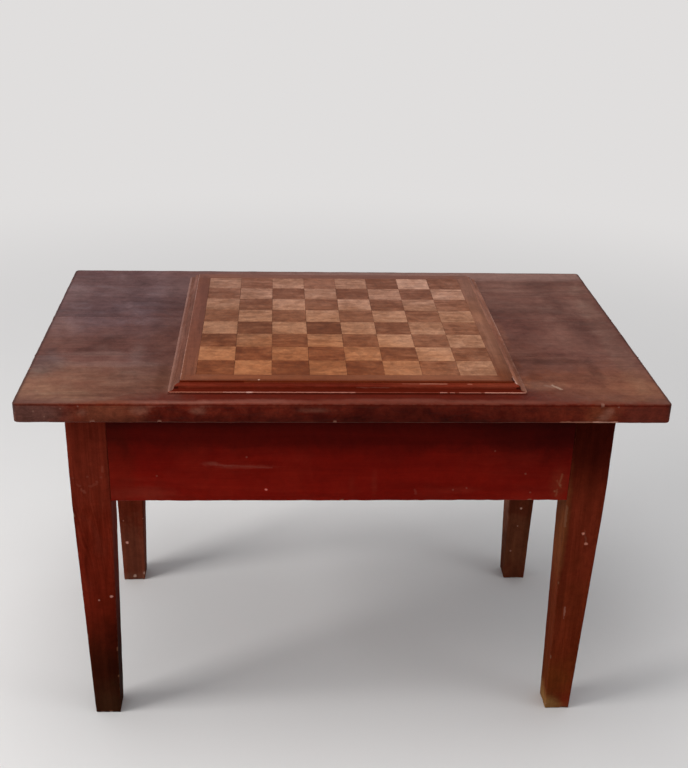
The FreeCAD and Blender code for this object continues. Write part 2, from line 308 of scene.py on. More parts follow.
@dataclass
class WornBoard:
    """A squared board whose arrises are rounded, uneven and chipped."""

    low: Vector
    high: Vector
    radius: float
    radii: dict[Arris, float] = field(default_factory=dict)
    chips: list[Chip] = field(default_factory=list)
    spacing: float = 7 * MM
    unevenness: float = 0.35
    uneven_length: float = 34 * MM
    dips: float = 0.15 * MM
    dip_length: float = 90 * MM
    plan_corners: dict[tuple[int, int], float] = field(default_factory=dict)
    """Radius of each upright corner that is rounded in plan, by its end on X and on Y."""
    seed: int = 0
    near_ends: tuple[float, ...] = (0.0, 0.2, 0.5, 0.9, 1.5, 2.3, 3.4, 5.0)
    """Distances of the first lines from each end, in millimetres."""
    blend: float = 0.15 * MM
    """Distance within which the radii of two arrises run into each other."""

    def _lines(self, axis: Axis) -> np.ndarray:
        """Places the lines across one axis, closer at the ends and at the chips.

        Args:
            axis: The axis that the lines cross.

        Returns:
            Their rising coordinates.
        """
        low, high = self.low[axis.value], self.high[axis.value]
        near = np.array([d * MM for d in self.near_ends if d * MM < END_REACH * (high - low)])
        first, last = low + near[-1], high - near[-1]
        count = max(1, round((high - low - 2 * near[-1]) / self.spacing))
        middle = np.linspace(first, last, count + 1)
        lines = np.concatenate([low + near[:-1], middle, (high - near[:-1])[::-1]])
        for chip in self.chips:
            if chip.arris[0] is axis:
                extra = chip.at + chip.length * CHIP_LINES
                lines = np.concatenate([lines, extra[(extra > first) & (extra < last)]])
        lines = np.unique(lines.round(7))
        return lines[np.concatenate([[True], np.diff(lines) > SMALLEST])]

    def _rounding(self, points: np.ndarray) -> tuple[np.ndarray, np.ndarray]:
        """Gives the arris radius that holds at each point.

        Args:
            points: Points on the squared box.

        Returns:
            The radius, and how far into a chip the point lies, from 0 to 1.
        """
        ends = {-1: np.array(self.low), 1: np.array(self.high)}
        weights = np.zeros(len(points))
        total = np.zeros(len(points))
        bare = np.zeros(len(points))
        for number, arris in enumerate(ARRISES):
            along = arris[0].value
            first, second = [other for other in range(3) if other != along]
            gap = np.hypot(points[:, first] - ends[arris[1]][first],
                           points[:, second] - ends[arris[2]][second])
            own = self.radii.get(arris, self.radius)
            ripple = Ripple(self.seed * 31 + number, self.uneven_length)
            radius = own * (1 + self.unevenness * ripple(points))
            for chip in self.chips:
                if chip.arris == arris:
                    offset = (points[:, along] - chip.at) / (chip.length / 2)
                    hollow = np.clip(1 - offset**2, 0, 1) ** CHIP_BOWL
                    radius = radius + chip.depth * hollow
                    near = np.clip(CHIP_REACH - gap / (own + chip.depth), 0, 1)
                    bare = np.maximum(bare, np.clip(hollow * near * CHIP_BARENESS, 0, 1))
            weight = 1 / (gap**2 + self.blend**2) ** 2
            weights += weight
            total += weight * radius
        return total / weights, bare

    def surface(self) -> Surface:
        """Builds the board.

        Returns:
            Its mesh with the values wear, bare and side for its material.
        """
        points, faces = lattice([self._lines(axis) for axis in Axis])
        radius, bare = self._rounding(points)
        thinnest = min(b - a for a, b in zip(self.low, self.high))
        radius = np.clip(radius, SMALLEST, FULLEST * thinnest)[:, None]
        core = np.clip(points, np.array(self.low) + radius, np.array(self.high) - radius)
        way = points - core
        way /= np.linalg.norm(way, axis=1, keepdims=True)
        rounded = core + way * radius
        dip = self.dips * Ripple(self.seed * 17 + 5, self.dip_length).share(points)
        rounded -= way * dip[:, None]
        for ends, curve in self.plan_corners.items():
            corner = np.array([(self.low, self.high)[end > 0][axis]
                               for axis, end in enumerate(ends)])
            rounded[:, :2] = round_in_plan(rounded[:, :2], corner, np.array(ends), curve)
        wear = np.clip((1 - np.abs(way).max(axis=1)) / MID_ROUNDING, 0, 1)
        values = {"wear": wear, "bare": bare, "side": 1 - np.abs(way[:, 2])}
        return Surface(rounded, faces.tolist(), values)


LEAST_WEAR = 0.35
"""How rubbed the best kept stretch of a strip's arris is, as a share of the most rubbed one."""


@dataclass
class MitredStrip:
    """A strip along one side of the chessboard, cut to a mitre at both ends."""

    side: Side
    centre: Vector
    profile: np.ndarray
    """Outline across the strip: distance out from the board's middle, then height, anticlockwise
    seen from the strip's right-hand end."""
    exposed: np.ndarray
    """For each point of the outline, how much of an arris it is, from 0 to 1."""
    spacing: float = 5 * MM
    near_ends: tuple[float, ...] = (0.0, 0.8, 1.6, 2.6, 4.0)
    """Distances of the first lines from each mitre, in millimetres."""
    wear_depth: float = 0.35 * MM
    rub_lengths: Span = (30 * MM, 7 * MM)
    """Typical distance between rubbed stretches, and between the small dents in them."""
    gaps: Span = (0.0, 0.0)
    """How far the left and right mitres stand open."""
    corner: float = 0.0
    """Radius that the outer corners are worn to."""
    seed: int = 0

    def surface(self) -> Surface:
        """Builds the strip.

        Returns:
            Its mesh with the values wear, bare and side for its material.
        """
        reach = self.profile[:, 0].max()
        near = 1 - np.array(self.near_ends) * MM / reach
        inner = np.linspace(-near[-1], near[-1], round(2 * reach / self.spacing))[1:-1]
        shares = np.concatenate([-near, inner, near[::-1]])
        half = self.profile[:, 0]
        along = np.clip(shares[:, None] * half, -half + self.gaps[0], half - self.gaps[1])
        height = np.broadcast_to(self.profile[:, 1], along.shape)
        out = np.broadcast_to(half, along.shape)
        local = np.stack([along.ravel(), -out.ravel(), height.ravel()], axis=1)
        if self.corner:
            for end in (-1, 1):
                tip = np.array([end * reach, -reach])
                local[:, :2] = round_in_plan(local[:, :2], tip, np.array([end, -1]), self.corner)
        turn = np.array(Matrix.Rotation(math.radians(self.side.value), 3, "Z"))
        points = local @ turn.T + np.array([self.centre.x, self.centre.y, 0.0])
        exposed = np.broadcast_to(self.exposed, along.shape).ravel()
        rubbed = Ripple(self.seed + 3, self.rub_lengths[0]).share(points)
        fine = Ripple(self.seed + 9, self.rub_lengths[1]).share(points)
        sunk = self.wear_depth * exposed * rubbed * fine
        middle = np.array([-self.profile[:, 0].mean(), self.profile[:, 1].mean()])
        inward = np.stack([np.zeros(len(local)), *(middle - local[:, 1:]).T], axis=1)
        inward /= np.linalg.norm(inward, axis=1, keepdims=True) + TINY
        points = points + (inward * sunk[:, None]) @ turn.T
        unpainted = np.zeros(len(points))
        wear = exposed * (LEAST_WEAR + (1 - LEAST_WEAR) * rubbed)
        values = {"wear": wear, "bare": unpainted, "side": unpainted}
        return Surface(points, self._faces(len(shares)), values)

    def _faces(self, lines: int) -> list[list[int]]:
        """Joins the points by faces.

        Args:
            lines: How many lines there are across the strip.

        Returns:
            The faces, those of the two mitres last.
        """
        size = len(self.profile)
        faces = []
        for row in range(lines - 1):
            here, there = row * size, (row + 1) * size
            for item in range(size):
                after = (item + 1) % size
                faces.append([here + item, here + after, there + after, there + item])
        faces.append(list(range(size))[::-1])
        faces.append([(lines - 1) * size + item for item in range(size)])
        return faces


@dataclass(frozen=True)
class Corner:
    """A corner of an outline, and how it has worn."""

    out: float
    height: float
    cut: float = 0.0
    """Length that the rounding takes off both sides."""
    wear: float = 0.0
    """How rubbed it is, from 0 to 1."""


ROUNDING_ENDS = 0.45
"""How rubbed the two ends of a rounding are, as a share of its middle."""


def eased(corners: Sequence[Corner], steps: int = 4) -> tuple[np.ndarray, np.ndarray]:
    """Rounds the corners of a closed outline.

    Args:
        corners: The corners in order. A corner with no cut stays sharp.
        steps: How many short sides stand for each rounded corner.

    Returns:
        The outline's points, and how rubbed each point is.
    """
    points: list[np.ndarray] = []
    marks: list[float] = []
    flat = [np.array((corner.out, corner.height)) for corner in corners]
    for number, corner in enumerate(corners):
        here = flat[number]
        if not corner.cut:
            points.append(here)
            marks.append(corner.wear)
            continue
        before, after = flat[number - 1], flat[(number + 1) % len(flat)]
        start = here + (before - here) / np.linalg.norm(before - here) * corner.cut
        end = here + (after - here) / np.linalg.norm(after - here) * corner.cut
        for share in np.linspace(0, 1, steps + 1):
            rest = 1 - share
            points.append(rest**2 * start + 2 * share * rest * here + share**2 * end)
            marks.append(corner.wear * (1.0 if 0 < share < 1 else ROUNDING_ENDS))
    return np.array(points), np.array(marks)


# ---- materials ---------------------------------------------------------------------------------


@dataclass(frozen=True)
class Clouds:
    """One kind of noise."""

    scale: float | Place
    """How many clouds there are in a metre, everywhere or on each axis."""
    detail: float = 4.0
    """How many finer layers are added."""
    roughness: float = 0.55
    """How strong the finer layers are."""
    distortion: float = 0.0
    """How far the clouds are stirred."""


PATCH_EDGES = Clouds(24.0, 6.0, 0.68, 0.5)
MARK_EDGES = Clouds(150.0, 3.0, 0.5)
PATCH_WANDER, MARK_CORE = 3.0, 0.3
"""How far noise moves a wholly ragged patch's edge, and the solid share of a mark's width."""
SPOT_LENGTH = 1e-6
"""Length of a mark that has no length, in metres."""


def scaled(colour: Colour, factor: float) -> Colour:
    """Darkens or lightens a colour."""
    return tuple(factor * number for number in colour)


class Shading:
    """Adds nodes to one material or world and joins them up."""

    def __init__(self, owner: bpy.types.Material | bpy.types.World) -> None:
        """Takes the nodes that a new owner starts with: one shader and its output.

        Args:
            owner: The material or world.
        """
        owner.use_nodes = True
        self.owner = owner
        self._tree = owner.node_tree
        self._output, self.surface = sorted(
            self._tree.nodes, key=lambda node: not node.type.startswith("OUTPUT"))

    def node(self, kind: str, inputs: dict[int | str, Input] | None = None,
             **settings: object) -> bpy.types.Node:
        """Adds a node.

        Args:
            kind: Its type, without the word that all types begin with.
            inputs: The values or links of its inputs, by number or name.
            settings: Its properties.

        Returns:
            The new node.
        """
        made = self._tree.nodes.new(f"ShaderNode{kind}")
        for name, value in settings.items():
            setattr(made, name, value)
        for key, value in (inputs or {}).items():
            self.feed(made.inputs[key], value)
        return made

    def feed(self, socket: Socket, value: Input) -> None:
        """Gives a socket its value or its link.

        Args:
            socket: The input to set.
            value: Another node's output, a number, or several numbers.
        """
        if isinstance(value, Socket):
            self._tree.links.new(value, socket)
        else:
            socket.default_value = (*value, 1.0) if socket.type == "RGBA" else value

    def overlay(self, share: Input, above: Socket) -> None:
        """Shows another shader over the owner's first one, by its share."""
        pick = self.node("MixShader", {0: share, 1: self.surface.outputs[0], 2: above})
        self.feed(self._output.inputs["Surface"], pick.outputs[0])

    def math(self, operation: str, first: Input, second: Input = 0.0) -> Socket:
        """Joins one or two numbers by a sum, product or other operation."""
        return self.node("Math", {0: first, 1: second}, operation=operation).outputs[0]

    def vector(self, operation: str, first: Input, second: Input = (0.0, 0.0, 0.0)) -> Socket:
        """Joins one or two vectors.

        Args:
            operation: What is done with them.
            first: The first vector.
            second: The second vector, or the factor when the operation is SCALE.

        Returns:
            The vector or number that the operation makes.
        """
        inputs = {0: first, "Scale" if operation == "SCALE" else 1: second}
        made = self.node("VectorMath", inputs, operation=operation)
        return made.outputs["Value" if operation in ("DOT_PRODUCT", "LENGTH") else "Vector"]

    def combined(self, *parts: Input) -> Socket:
        """Makes a vector from three numbers."""
        return self.node("CombineXYZ", dict(enumerate(parts))).outputs[0]

    def parts(self, vector: Input) -> Sequence[Socket]:
        """Takes a vector apart into three numbers."""
        return self.node("SeparateXYZ", {0: vector}).outputs

    def smooth(self, value: Input, low: float, high: float, to: Span = (0.0, 1.0)) -> Socket:
        """Maps a number from low..high to a new span with soft ends."""
        inputs = dict(enumerate((value, low, high, *to)))
        return self.node("MapRange", inputs, interpolation_type="SMOOTHSTEP").outputs[0]

    def around_one(self, value: Input, low: float, high: float, reach: float) -> Socket:
        """Maps a number from low..high to a factor that goes its reach below and above 1."""
        return self.smooth(value, low, high, to=(1 - reach, 1 + reach))

    def weighed(self, first: Input, second: Input, share: float) -> Socket:
        """Adds two numbers. The first counts by its share and the second by the rest."""
        first = self.math("MULTIPLY", first, share)
        return self.math("ADD", first, self.math("MULTIPLY", second, 1 - share))

    def mix(self, share: Input, first: Input, second: Input) -> Socket:
        """Mixes two colours, the second by its share."""
        inputs = {0: share, 6: first, 7: second}
        return self.node("Mix", inputs, data_type="RGBA", clamp_factor=True).outputs[2]

    def laid(self, colour: Input, above: Input, where: Input, strength: Input) -> Socket:
        """Lays a colour over another, by where it shows and how strong it is there."""
        return self.mix(self.math("MULTIPLY", where, strength), colour, above)

    def ramp(self, share: Input, stops: Sequence[tuple[float, Colour]]) -> Socket:
        """Gives a colour for a number.

        Args:
            share: The number, from 0 to 1.
            stops: Where each colour stands, in rising order.

        Returns:
            The colour.
        """
        made = self.node("ValToRGB", {0: share})
        points = made.color_ramp.elements
        while len(points) < len(stops):
            points.new(0.5)
        for point, (place, colour) in zip(points, stops):
            point.position = place
            point.color = (*colour, 1.0)
        return made.outputs["Color"]

    def noise(self, where: Input, clouds: Clouds, output: int = 0) -> Socket:
        """Gives cloudy noise.

        Args:
            where: The coordinates.
            clouds: The kind of noise.
            output: 0 for one number from 0 to 1, or 1 for three.

        Returns:
            The noise.
        """
        scale = clouds.scale
        if isinstance(scale, tuple):
            where, scale = self.vector("MULTIPLY", where, scale), 1.0
        return self.node("TexNoise", {
            "Vector": where, "Scale": scale, "Detail": clouds.detail,
            "Roughness": clouds.roughness, "Distortion": clouds.distortion,
        }).outputs[output]

    def value(self, name: str) -> Socket:
        """Reads a value that was painted on the mesh."""
        return self.node("Attribute", attribute_name=name).outputs["Fac"]

    def place(self, kind: str = "Object") -> Socket:
        """Gives the place on the table, in metres, or another kind of coordinates."""
        return self.node("TexCoord").outputs[kind]

    def along(self, place: Input, grain: Axis) -> Input:
        """Turns a place so that the grain runs along its first coordinate.

        Args:
            place: The place.
            grain: The way the grain runs.

        Returns:
            The turned place.
        """
        if grain is Axis.X:
            return place
        parts = self.parts(place)
        order = (1, 0, 2) if grain is Axis.Y else (2, 1, 0)
        return self.combined(*[parts[source] for source in order])

    def stroke(self, place: Input, start: Place, end: Place, width: float) -> Socket:
        """Marks a line or a spot.

        Args:
            place: The place on the table.
            start: Where the mark begins, in millimetres.
            end: Where it ends. The same place as start gives a spot.
            width: Half of its width, in millimetres.

        Returns:
            1 on the mark's middle and 0 beyond its width.
        """
        first = Vector(start) * MM
        run = Vector(end) * MM - first
        length = max(run.length, SPOT_LENGTH)
        way = tuple(run / length)
        offset = self.vector("SUBTRACT", place, tuple(first))
        reach = self.vector("DOT_PRODUCT", offset, way)
        share = self.math("MINIMUM", self.math("MAXIMUM", reach, 0.0), length)
        nearest = self.vector("SCALE", way, share)
        gap = self.vector("LENGTH", self.vector("SUBTRACT", offset, nearest))
        return self.smooth(gap, width * MM * MARK_CORE, width * MM, to=(1.0, 0.0))

    def even_far_away(self, colour: Colour, near: float, far: float) -> None:
        """Turns a floor into an even backdrop, as the camera sees it, far from the table.

        Args:
            colour: The backdrop's colour.
            near: How far out it begins, in metres.
            far: How far out it is complete, in metres.
        """
        path = self.node("LightPath")
        seen = self.math("MAXIMUM", path.outputs["Is Camera Ray"], path.outputs["Is Glossy Ray"])
        away = self.smooth(self.vector("LENGTH", self.place()), near, far)
        glow = self.node("Emission", {"Color": colour})
        self.overlay(self.math("MULTIPLY", seen, away), glow.outputs[0])

    def patched(self, place: Input, colour: Input, patches: Sequence["Patch"]) -> Input:
        """Lays patches with ragged edges over a colour.

        Args:
            place: The place on the table.
            colour: The colour below.
            patches: The patches, the lowest first.

        Returns:
            The colour with its patches.
        """
        if not patches:
            return colour
        stir = self.math("SUBTRACT", self.noise(place, PATCH_EDGES), 0.5)
        for patch in patches:
            offset = self.vector("SUBTRACT", place, tuple(c * MM for c in patch.centre))
            share = self.vector("MULTIPLY", offset, tuple(1 / (r * MM) for r in patch.reach))
            wander = self.math("MULTIPLY", stir, PATCH_WANDER * patch.ragged)
            gap = self.math("ADD", self.vector("LENGTH", share), wander)
            here = self.smooth(gap, 1 - patch.soft, 1 + patch.soft, to=(patch.strength, 0.0))
            tinted = self.vector("MULTIPLY", colour, patch.colour) if patch.tints else patch.colour
            colour = self.mix(here, colour, tinted)
        return colour

    def marked(self, place: Input, colour: Input, marks: Sequence["Mark"]) -> Input:
        """Lays scratches, scuffs and specks over a colour.

        Args:
            place: The place on the table.
            colour: The colour below.
            marks: The marks, the lowest first.

        Returns:
            The colour with its marks.
        """
        if not marks:
            return colour
        stir = self.vector("SUBTRACT", self.noise(place, MARK_EDGES, output=1), (0.5, 0.5, 0.5))
        for mark in marks:
            sway = self.vector("SCALE", stir, mark.ragged * MM * 2)
            spot = self.vector("ADD", place, sway)
            here = self.stroke(spot, mark.start, mark.end, mark.width)
            colour = self.laid(colour, mark.colour, here, mark.strength)
        return colour

    def coat(self, colour: Input, roughness: Input, specular: float = 0.5) -> None:
        """Gives the surface its colour and its shine.

        Args:
            colour: Its colour.
            roughness: How dull it is, from 0 to 1.
            specular: How strongly it mirrors, from 0 to 1.
        """
        names = ("Base Color", "Roughness", "Specular IOR Level")
        for name, value in zip(names, (colour, roughness, specular)):
            self.feed(self.surface.inputs[name], value)

    def bump(self, height: Input, distance: float) -> None:
        """Raises the surface by a height from 0 to 1, where 1 stands up by a distance in metres."""
        inputs = {"Strength": 1.0, "Distance": distance, "Height": height}
        self.feed(self.surface.inputs["Normal"], self.node("Bump", inputs).outputs[0])


@dataclass(frozen=True)
class Mark:
    """A scratch, scuff, stain or speck on a finish, in millimetres on the table."""

    start: Place
    end: Place
    width: float
    colour: Colour
    strength: float
    ragged: float
    """How far its edge wanders."""


def specks(places: Iterable[Place], width: float, colour: Colour,
           strength: float = 0.8) -> tuple[Mark, ...]:
    """Gives one small spot for each place."""
    return tuple(Mark(place, place, width, colour, strength, 0.6 * width) for place in places)


LineStretch = tuple[float, float, float, Colour, float, float]
# A stretch of a line of wear and painted shading: its start, end, width, colour, strength and
# ragged edge.
"""A stretch of a rubbed line: its start, end, width, colour, strength and ragged edge."""


def wear_and_shading_line(axis: Axis, across: tuple[float, float], *stretches: LineStretch) -> tuple[Mark, ...]:
    """Gives the marks of one straight line.

    Args:
        axis: The way that it runs, X or Y.
        across: Its place on the two other axes, in millimetres.
        stretches: Its stretches.

    Returns:
        A mark for each stretch.
    """
    lines = [[(at, *across) if axis is Axis.X else (across[0], at, across[1]) for at in rub[:2]]
             for rub in stretches]
    return tuple(Mark(*ends, *rub[2:]) for ends, rub in zip(lines, stretches))


@dataclass(frozen=True)
class Patch:
    """A part of a finish that has taken another tone, in millimetres on the table."""

    centre: Place
    reach: Place
    colour: Colour
    strength: float
    ragged: float = 0.5
    """How far its edge wanders, as a share of its reach."""
    soft: float = 0.5
    """How gently it fades, as a share of its reach."""
    tints: bool = False
    """Whether it multiplies what lies below it instead of covering it."""


def tint(centre: Place, reach: Place, colour: Colour, strength: float, ragged: float = 0.5,
         soft: float = 0.5) -> Patch:
    """Gives a patch that multiplies what lies below it."""
    return Patch(centre, reach, colour, strength, ragged, soft, tints=True)


GRAIN_WANDER = Clouds((2.2, 7.0, 7.0), 3.0)
GRAIN_SWAY = 0.03
"""How far the grain wanders, in metres."""
STREAKS = Clouds((3.0, 60.0, 60.0), 7.0, 0.62)
FINE_LINES = Clouds((16.0, 520.0, 520.0), 3.0, 0.6)
TONES = Clouds(7.0, 5.0, 0.6, 0.6)
HANDLING = Clouds((18.0, 30.0, 20.0), 7.0, 0.66, 1.2)
BLOTCHES = Clouds(30.0, 6.0, 0.7, 0.8)
WORKED_SIDES = Clouds((44.0, 44.0, 62.0), 7.0, 0.84, 0.25)
MOTTLE = Clouds(76.0, 6.0, 0.80, 0.6)
RUBS = Clouds(140.0, 4.0, 0.7)
PORES: Span = (0.36, 0.47)
"""Fine noise below and above which there is a pore and none."""
RING_DETAIL = 2.0
RING_SHARE = 0.35
"""How much of the figure is the rings. The rest is streaks."""


@dataclass(frozen=True)
class Timber:
    """Wood under stain, paint or varnish."""

    name: str
    dark: Colour
    middle: Colour
    light: Colour
    grain: Axis = Axis.X
    ring_spacing: float = 5.0
    """Typical distance between the rings, in millimetres."""
    heart: tuple[float, float] = (0.0, -70.0)
    """Where the tree's heart lay, on the two axes across the grain, in millimetres."""
    contrast: float = 0.5
    """How much of the colour follows the grain."""
    grain_lines: float = 0.10
    """How far the fine grain lines lighten and darken the colour."""
    mottle: float = 0.10
    """How far small clouds lighten and darken it."""
    pores: float = 0.25
    worn: Colour = (0.3, 0.17, 0.12)
    """Colour on rubbed arrises."""
    worn_strength: float = 0.6
    raw: Colour = (0.42, 0.26, 0.17)
    """Colour in chips."""
    haze: Colour = (0.22, 0.14, 0.13)
    """Colour of dull, rubbed patches."""
    haze_strength: float = 0.0
    smear: Place = (8.0, 26.0, 20.0)
    """How many dull patches there are in a metre, along and across the grain."""
    smudges: float = 0.0
    """How far wiped and handled places stand out, across the grain."""
    side_dark: Colour = (0.0, 0.0, 0.0)
    side_light: Colour = (0.0, 0.0, 0.0)
    side_strength: float = 0.0
    """How far the upright faces take their own two colours."""
    side_mottle: float = 0.0
    """How far small clouds lighten and darken the upright faces."""
    roughness: float = 0.42
    specular: float = 0.2
    relief: float = 0.06
    """How deep the grain is felt, in millimetres."""
    patches: tuple[Patch, ...] = ()
    marks: tuple[Mark, ...] = ()
    seed: float = 0.0

    def material(self) -> bpy.types.Material:
        """Builds the material.

        Returns:
            The new material.
        """
        s = Shading(bpy.data.materials.new(self.name))
        place = s.place()
        turned = s.vector("ADD", s.along(place, self.grain), (self.seed * 1.7, 0.0, 0.0))
        wander = s.math("SUBTRACT", s.noise(turned, GRAIN_WANDER), 0.5)
        sway = s.math("MULTIPLY", wander, GRAIN_SWAY)
        swayed = s.vector("ADD", turned, s.combined(0.0, sway, sway))
        streak = s.noise(swayed, STREAKS)
        pore = s.smooth(s.noise(swayed, FINE_LINES), *PORES, to=(1.0, 0.0))
        cloud = s.noise(s.vector("ADD", place, (self.seed * 0.9, 0.3, 0.1)), TONES)
        figure = s.weighed(self._rings(s, swayed), streak, RING_SHARE)
        tone = s.weighed(figure, cloud, self.contrast)
        colour = s.ramp(tone, [(0.40, self.dark), (0.5, self.middle), (0.61, self.light)])
        roughness = s.math("ADD", s.math("MULTIPLY", cloud, 0.16), self.roughness - 0.08)
        if self.smudges:
            wiped = s.noise(turned, HANDLING)
            shade = s.smooth(wiped, low=0.32, high=0.54, to=(1 - self.smudges, 1.0))
            colour = s.vector("SCALE", colour, shade)
            pale = s.smooth(wiped, low=0.53, high=0.70)
            colour = s.laid(colour, self.haze, pale, 1.6 * self.smudges)
        if self.haze_strength:
            smear = s.noise(turned, Clouds(self.smear, 7.0, 0.66, 1.0))
            dull = s.math("MULTIPLY", s.smooth(smear, low=0.46, high=0.70), self.haze_strength)
            colour = s.mix(dull, colour, self.haze)
            roughness = s.math("ADD", roughness, s.math("MULTIPLY", dull, 0.18))
        if self.side_strength:
            blotch = s.noise(s.vector("ADD", place, (self.seed, 0.7, 0.2)), BLOTCHES)
            upright = s.ramp(blotch, [(0.40, self.side_dark), (0.62, self.side_light)])
            colour = s.laid(colour, upright, s.value("side"), self.side_strength)
        colour = s.patched(place, colour, self.patches)
        if self.side_mottle:
            worked = s.noise(s.vector("ADD", place, (0.1, self.seed, 0.6)), WORKED_SIDES)
            shade = s.around_one(worked, low=0.34, high=0.66, reach=self.side_mottle)
            colour = s.mix(s.value("side"), colour, s.vector("SCALE", colour, shade))
        mottle = s.noise(s.vector("ADD", place, (0.3, self.seed, 0.1)), MOTTLE)
        shade = s.around_one(mottle, low=0.32, high=0.68, reach=self.mottle)
        lines = s.around_one(streak, low=0.34, high=0.66, reach=self.grain_lines)
        colour = s.vector("SCALE", colour, s.math("MULTIPLY", shade, lines))
        colour = s.laid(colour, scaled(self.dark, 0.45), pore, self.pores)
        rub = s.noise(place, RUBS)
        worn = s.math("MULTIPLY", s.value("wear"), s.smooth(rub, low=0.38, high=0.62))
        colour = s.laid(colour, self.worn, worn, self.worn_strength)
        colour = s.laid(colour, self.raw, s.value("bare"), s.smooth(rub, low=0.3, high=0.5))
        s.coat(s.marked(place, colour, self.marks), roughness, self.specular)
        height = s.math("SUBTRACT", s.math("MULTIPLY", streak, 0.6), s.math("MULTIPLY", pore, 0.5))
        s.bump(height, self.relief * MM)
        return s.owner

    def _rings(self, s: Shading, place: Socket) -> Socket:
        """Draws the tree's rings.

        Args:
            s: The material's shading.
            place: The place, with the grain along its first coordinate.

        Returns:
            The rings, from 0 to 1.
        """
        heart = (0.0, *[h * MM for h in self.heart])
        across = s.vector("MULTIPLY", s.vector("SUBTRACT", place, heart), (0.0, 1.0, 1.0))
        count = s.math("MULTIPLY", s.vector("LENGTH", across), 1000 / self.ring_spacing)
        inputs = {"W": count, "Detail": RING_DETAIL}
        return s.node("TexNoise", inputs, noise_dimensions="1D").outputs[0]


INLAY_WANDER = Clouds((14.0, 30.0, 10.0), 3.0)
INLAY_SWAY = 0.012
"""How far a square's grain wanders, in metres."""
INLAY_STREAKS = Clouds((22.0, 115.0, 40.0), 6.0, 0.66)
INLAY_LINES = Clouds((55.0, 1100.0, 300.0), 3.0, 0.6)
INLAY_TONES = Clouds(34.0, 5.0, 0.66, 0.5)
GRIME = Clouds(95.0, 6.0, 0.75, 0.6)


@dataclass(frozen=True)
class Inlay:
    """Varnished squares of the board, each cut from its own piece of wood."""

    name: str
    dark: Colour
    middle: Colour
    light: Colour
    spread: float = 0.30
    """How far the squares differ from each other."""
    roughness: float = 0.42
    specular: float = 0.05
    relief: float = 0.05
    """How deep the grain is felt, in millimetres."""
    patches: tuple[Patch, ...] = ()
    seed: float = 0.0

    def material(self) -> bpy.types.Material:
        """Builds the material.

        Returns:
            The new material.
        """
        s = Shading(bpy.data.materials.new(self.name))
        place, tone = s.place(), s.value("tone")
        own = s.combined(s.math("MULTIPLY", tone, 37.0), s.math("MULTIPLY", tone, 19.0), self.seed)
        lean = s.math("MULTIPLY", s.parts(place)[0], s.value("tilt"))
        cut = s.vector("ADD", s.vector("ADD", place, own), s.combined(0.0, lean, 0.0))
        wander = s.math("SUBTRACT", s.noise(cut, INLAY_WANDER), 0.5)
        cut = s.vector("ADD", cut, s.combined(0.0, s.math("MULTIPLY", wander, INLAY_SWAY), 0.0))
        streak = s.noise(cut, INLAY_STREAKS)
        pore = s.smooth(s.noise(cut, INLAY_LINES), *PORES, to=(1.0, 0.0))
        figure = s.weighed(streak, s.noise(cut, INLAY_TONES), 0.5)
        own = s.math("MULTIPLY", s.math("SUBTRACT", tone, 0.5), self.spread)
        level = s.math("ADD", figure, own)
        colour = s.ramp(level, [(0.41, self.dark), (0.5, self.middle), (0.60, self.light)])
        colour = s.laid(colour, scaled(self.dark, 0.6), pore, 0.3)
        grime = s.noise(place, GRIME)
        colour = s.vector("SCALE", colour, s.smooth(grime, low=0.34, high=0.66, to=(0.80, 1.18)))
        colour = s.patched(place, colour, self.patches)
        colour = s.laid(colour, scaled(self.dark, 0.5), s.value("wear"), 0.35)
        roughness = s.math("ADD", s.math("MULTIPLY", grime, 0.2), self.roughness - 0.1)
        s.coat(colour, roughness, self.specular)
        height = s.math("SUBTRACT", s.math("MULTIPLY", streak, 0.4), s.math("MULTIPLY", pore, 0.5))
        s.bump(height, self.relief * MM)
        return s.owner


STEEL_CLOUDS = Clouds(240.0, 5.0, 0.65)
DRAWING_LINES = Clouds(1900.0, 2.0)


@dataclass(frozen=True)
class Steel:
    """Plain drawn steel of screws and brads."""

    name: str = "plain_steel"
    dull: Colour = (0.30, 0.29, 0.28)
    bright: Colour = (0.56, 0.55, 0.53)
    relief: float = 0.02
    """How deep the marks of drawing are, in millimetres."""

    def material(self) -> bpy.types.Material:
        """Builds the material.

        Returns:
            The new material.
        """
        s = Shading(bpy.data.materials.new(self.name))
        place = s.place()
        cloud = s.noise(place, STEEL_CLOUDS)
        roughness = s.smooth(cloud, low=0.3, high=0.7, to=(0.28, 0.5))
        s.coat(s.ramp(cloud, [(0.35, self.dull), (0.6, self.bright)]), roughness)
        s.feed(s.surface.inputs["Metallic"], 1.0)
        s.bump(s.noise(place, DRAWING_LINES), self.relief * MM)
        return s.owner


# ---- table top ---------------------------------------------------------------------------------

PALE_RUB = (0.40, 0.25, 0.18)
EDGE_RUB = (0.24, 0.085, 0.054)
OUTSIDE = 2000
"""A reach that takes in the whole table, in millimetres."""
TOP = 545
"""Level of the table top, in millimetres."""
EDGE = -270
"""Where the top's front edge is."""

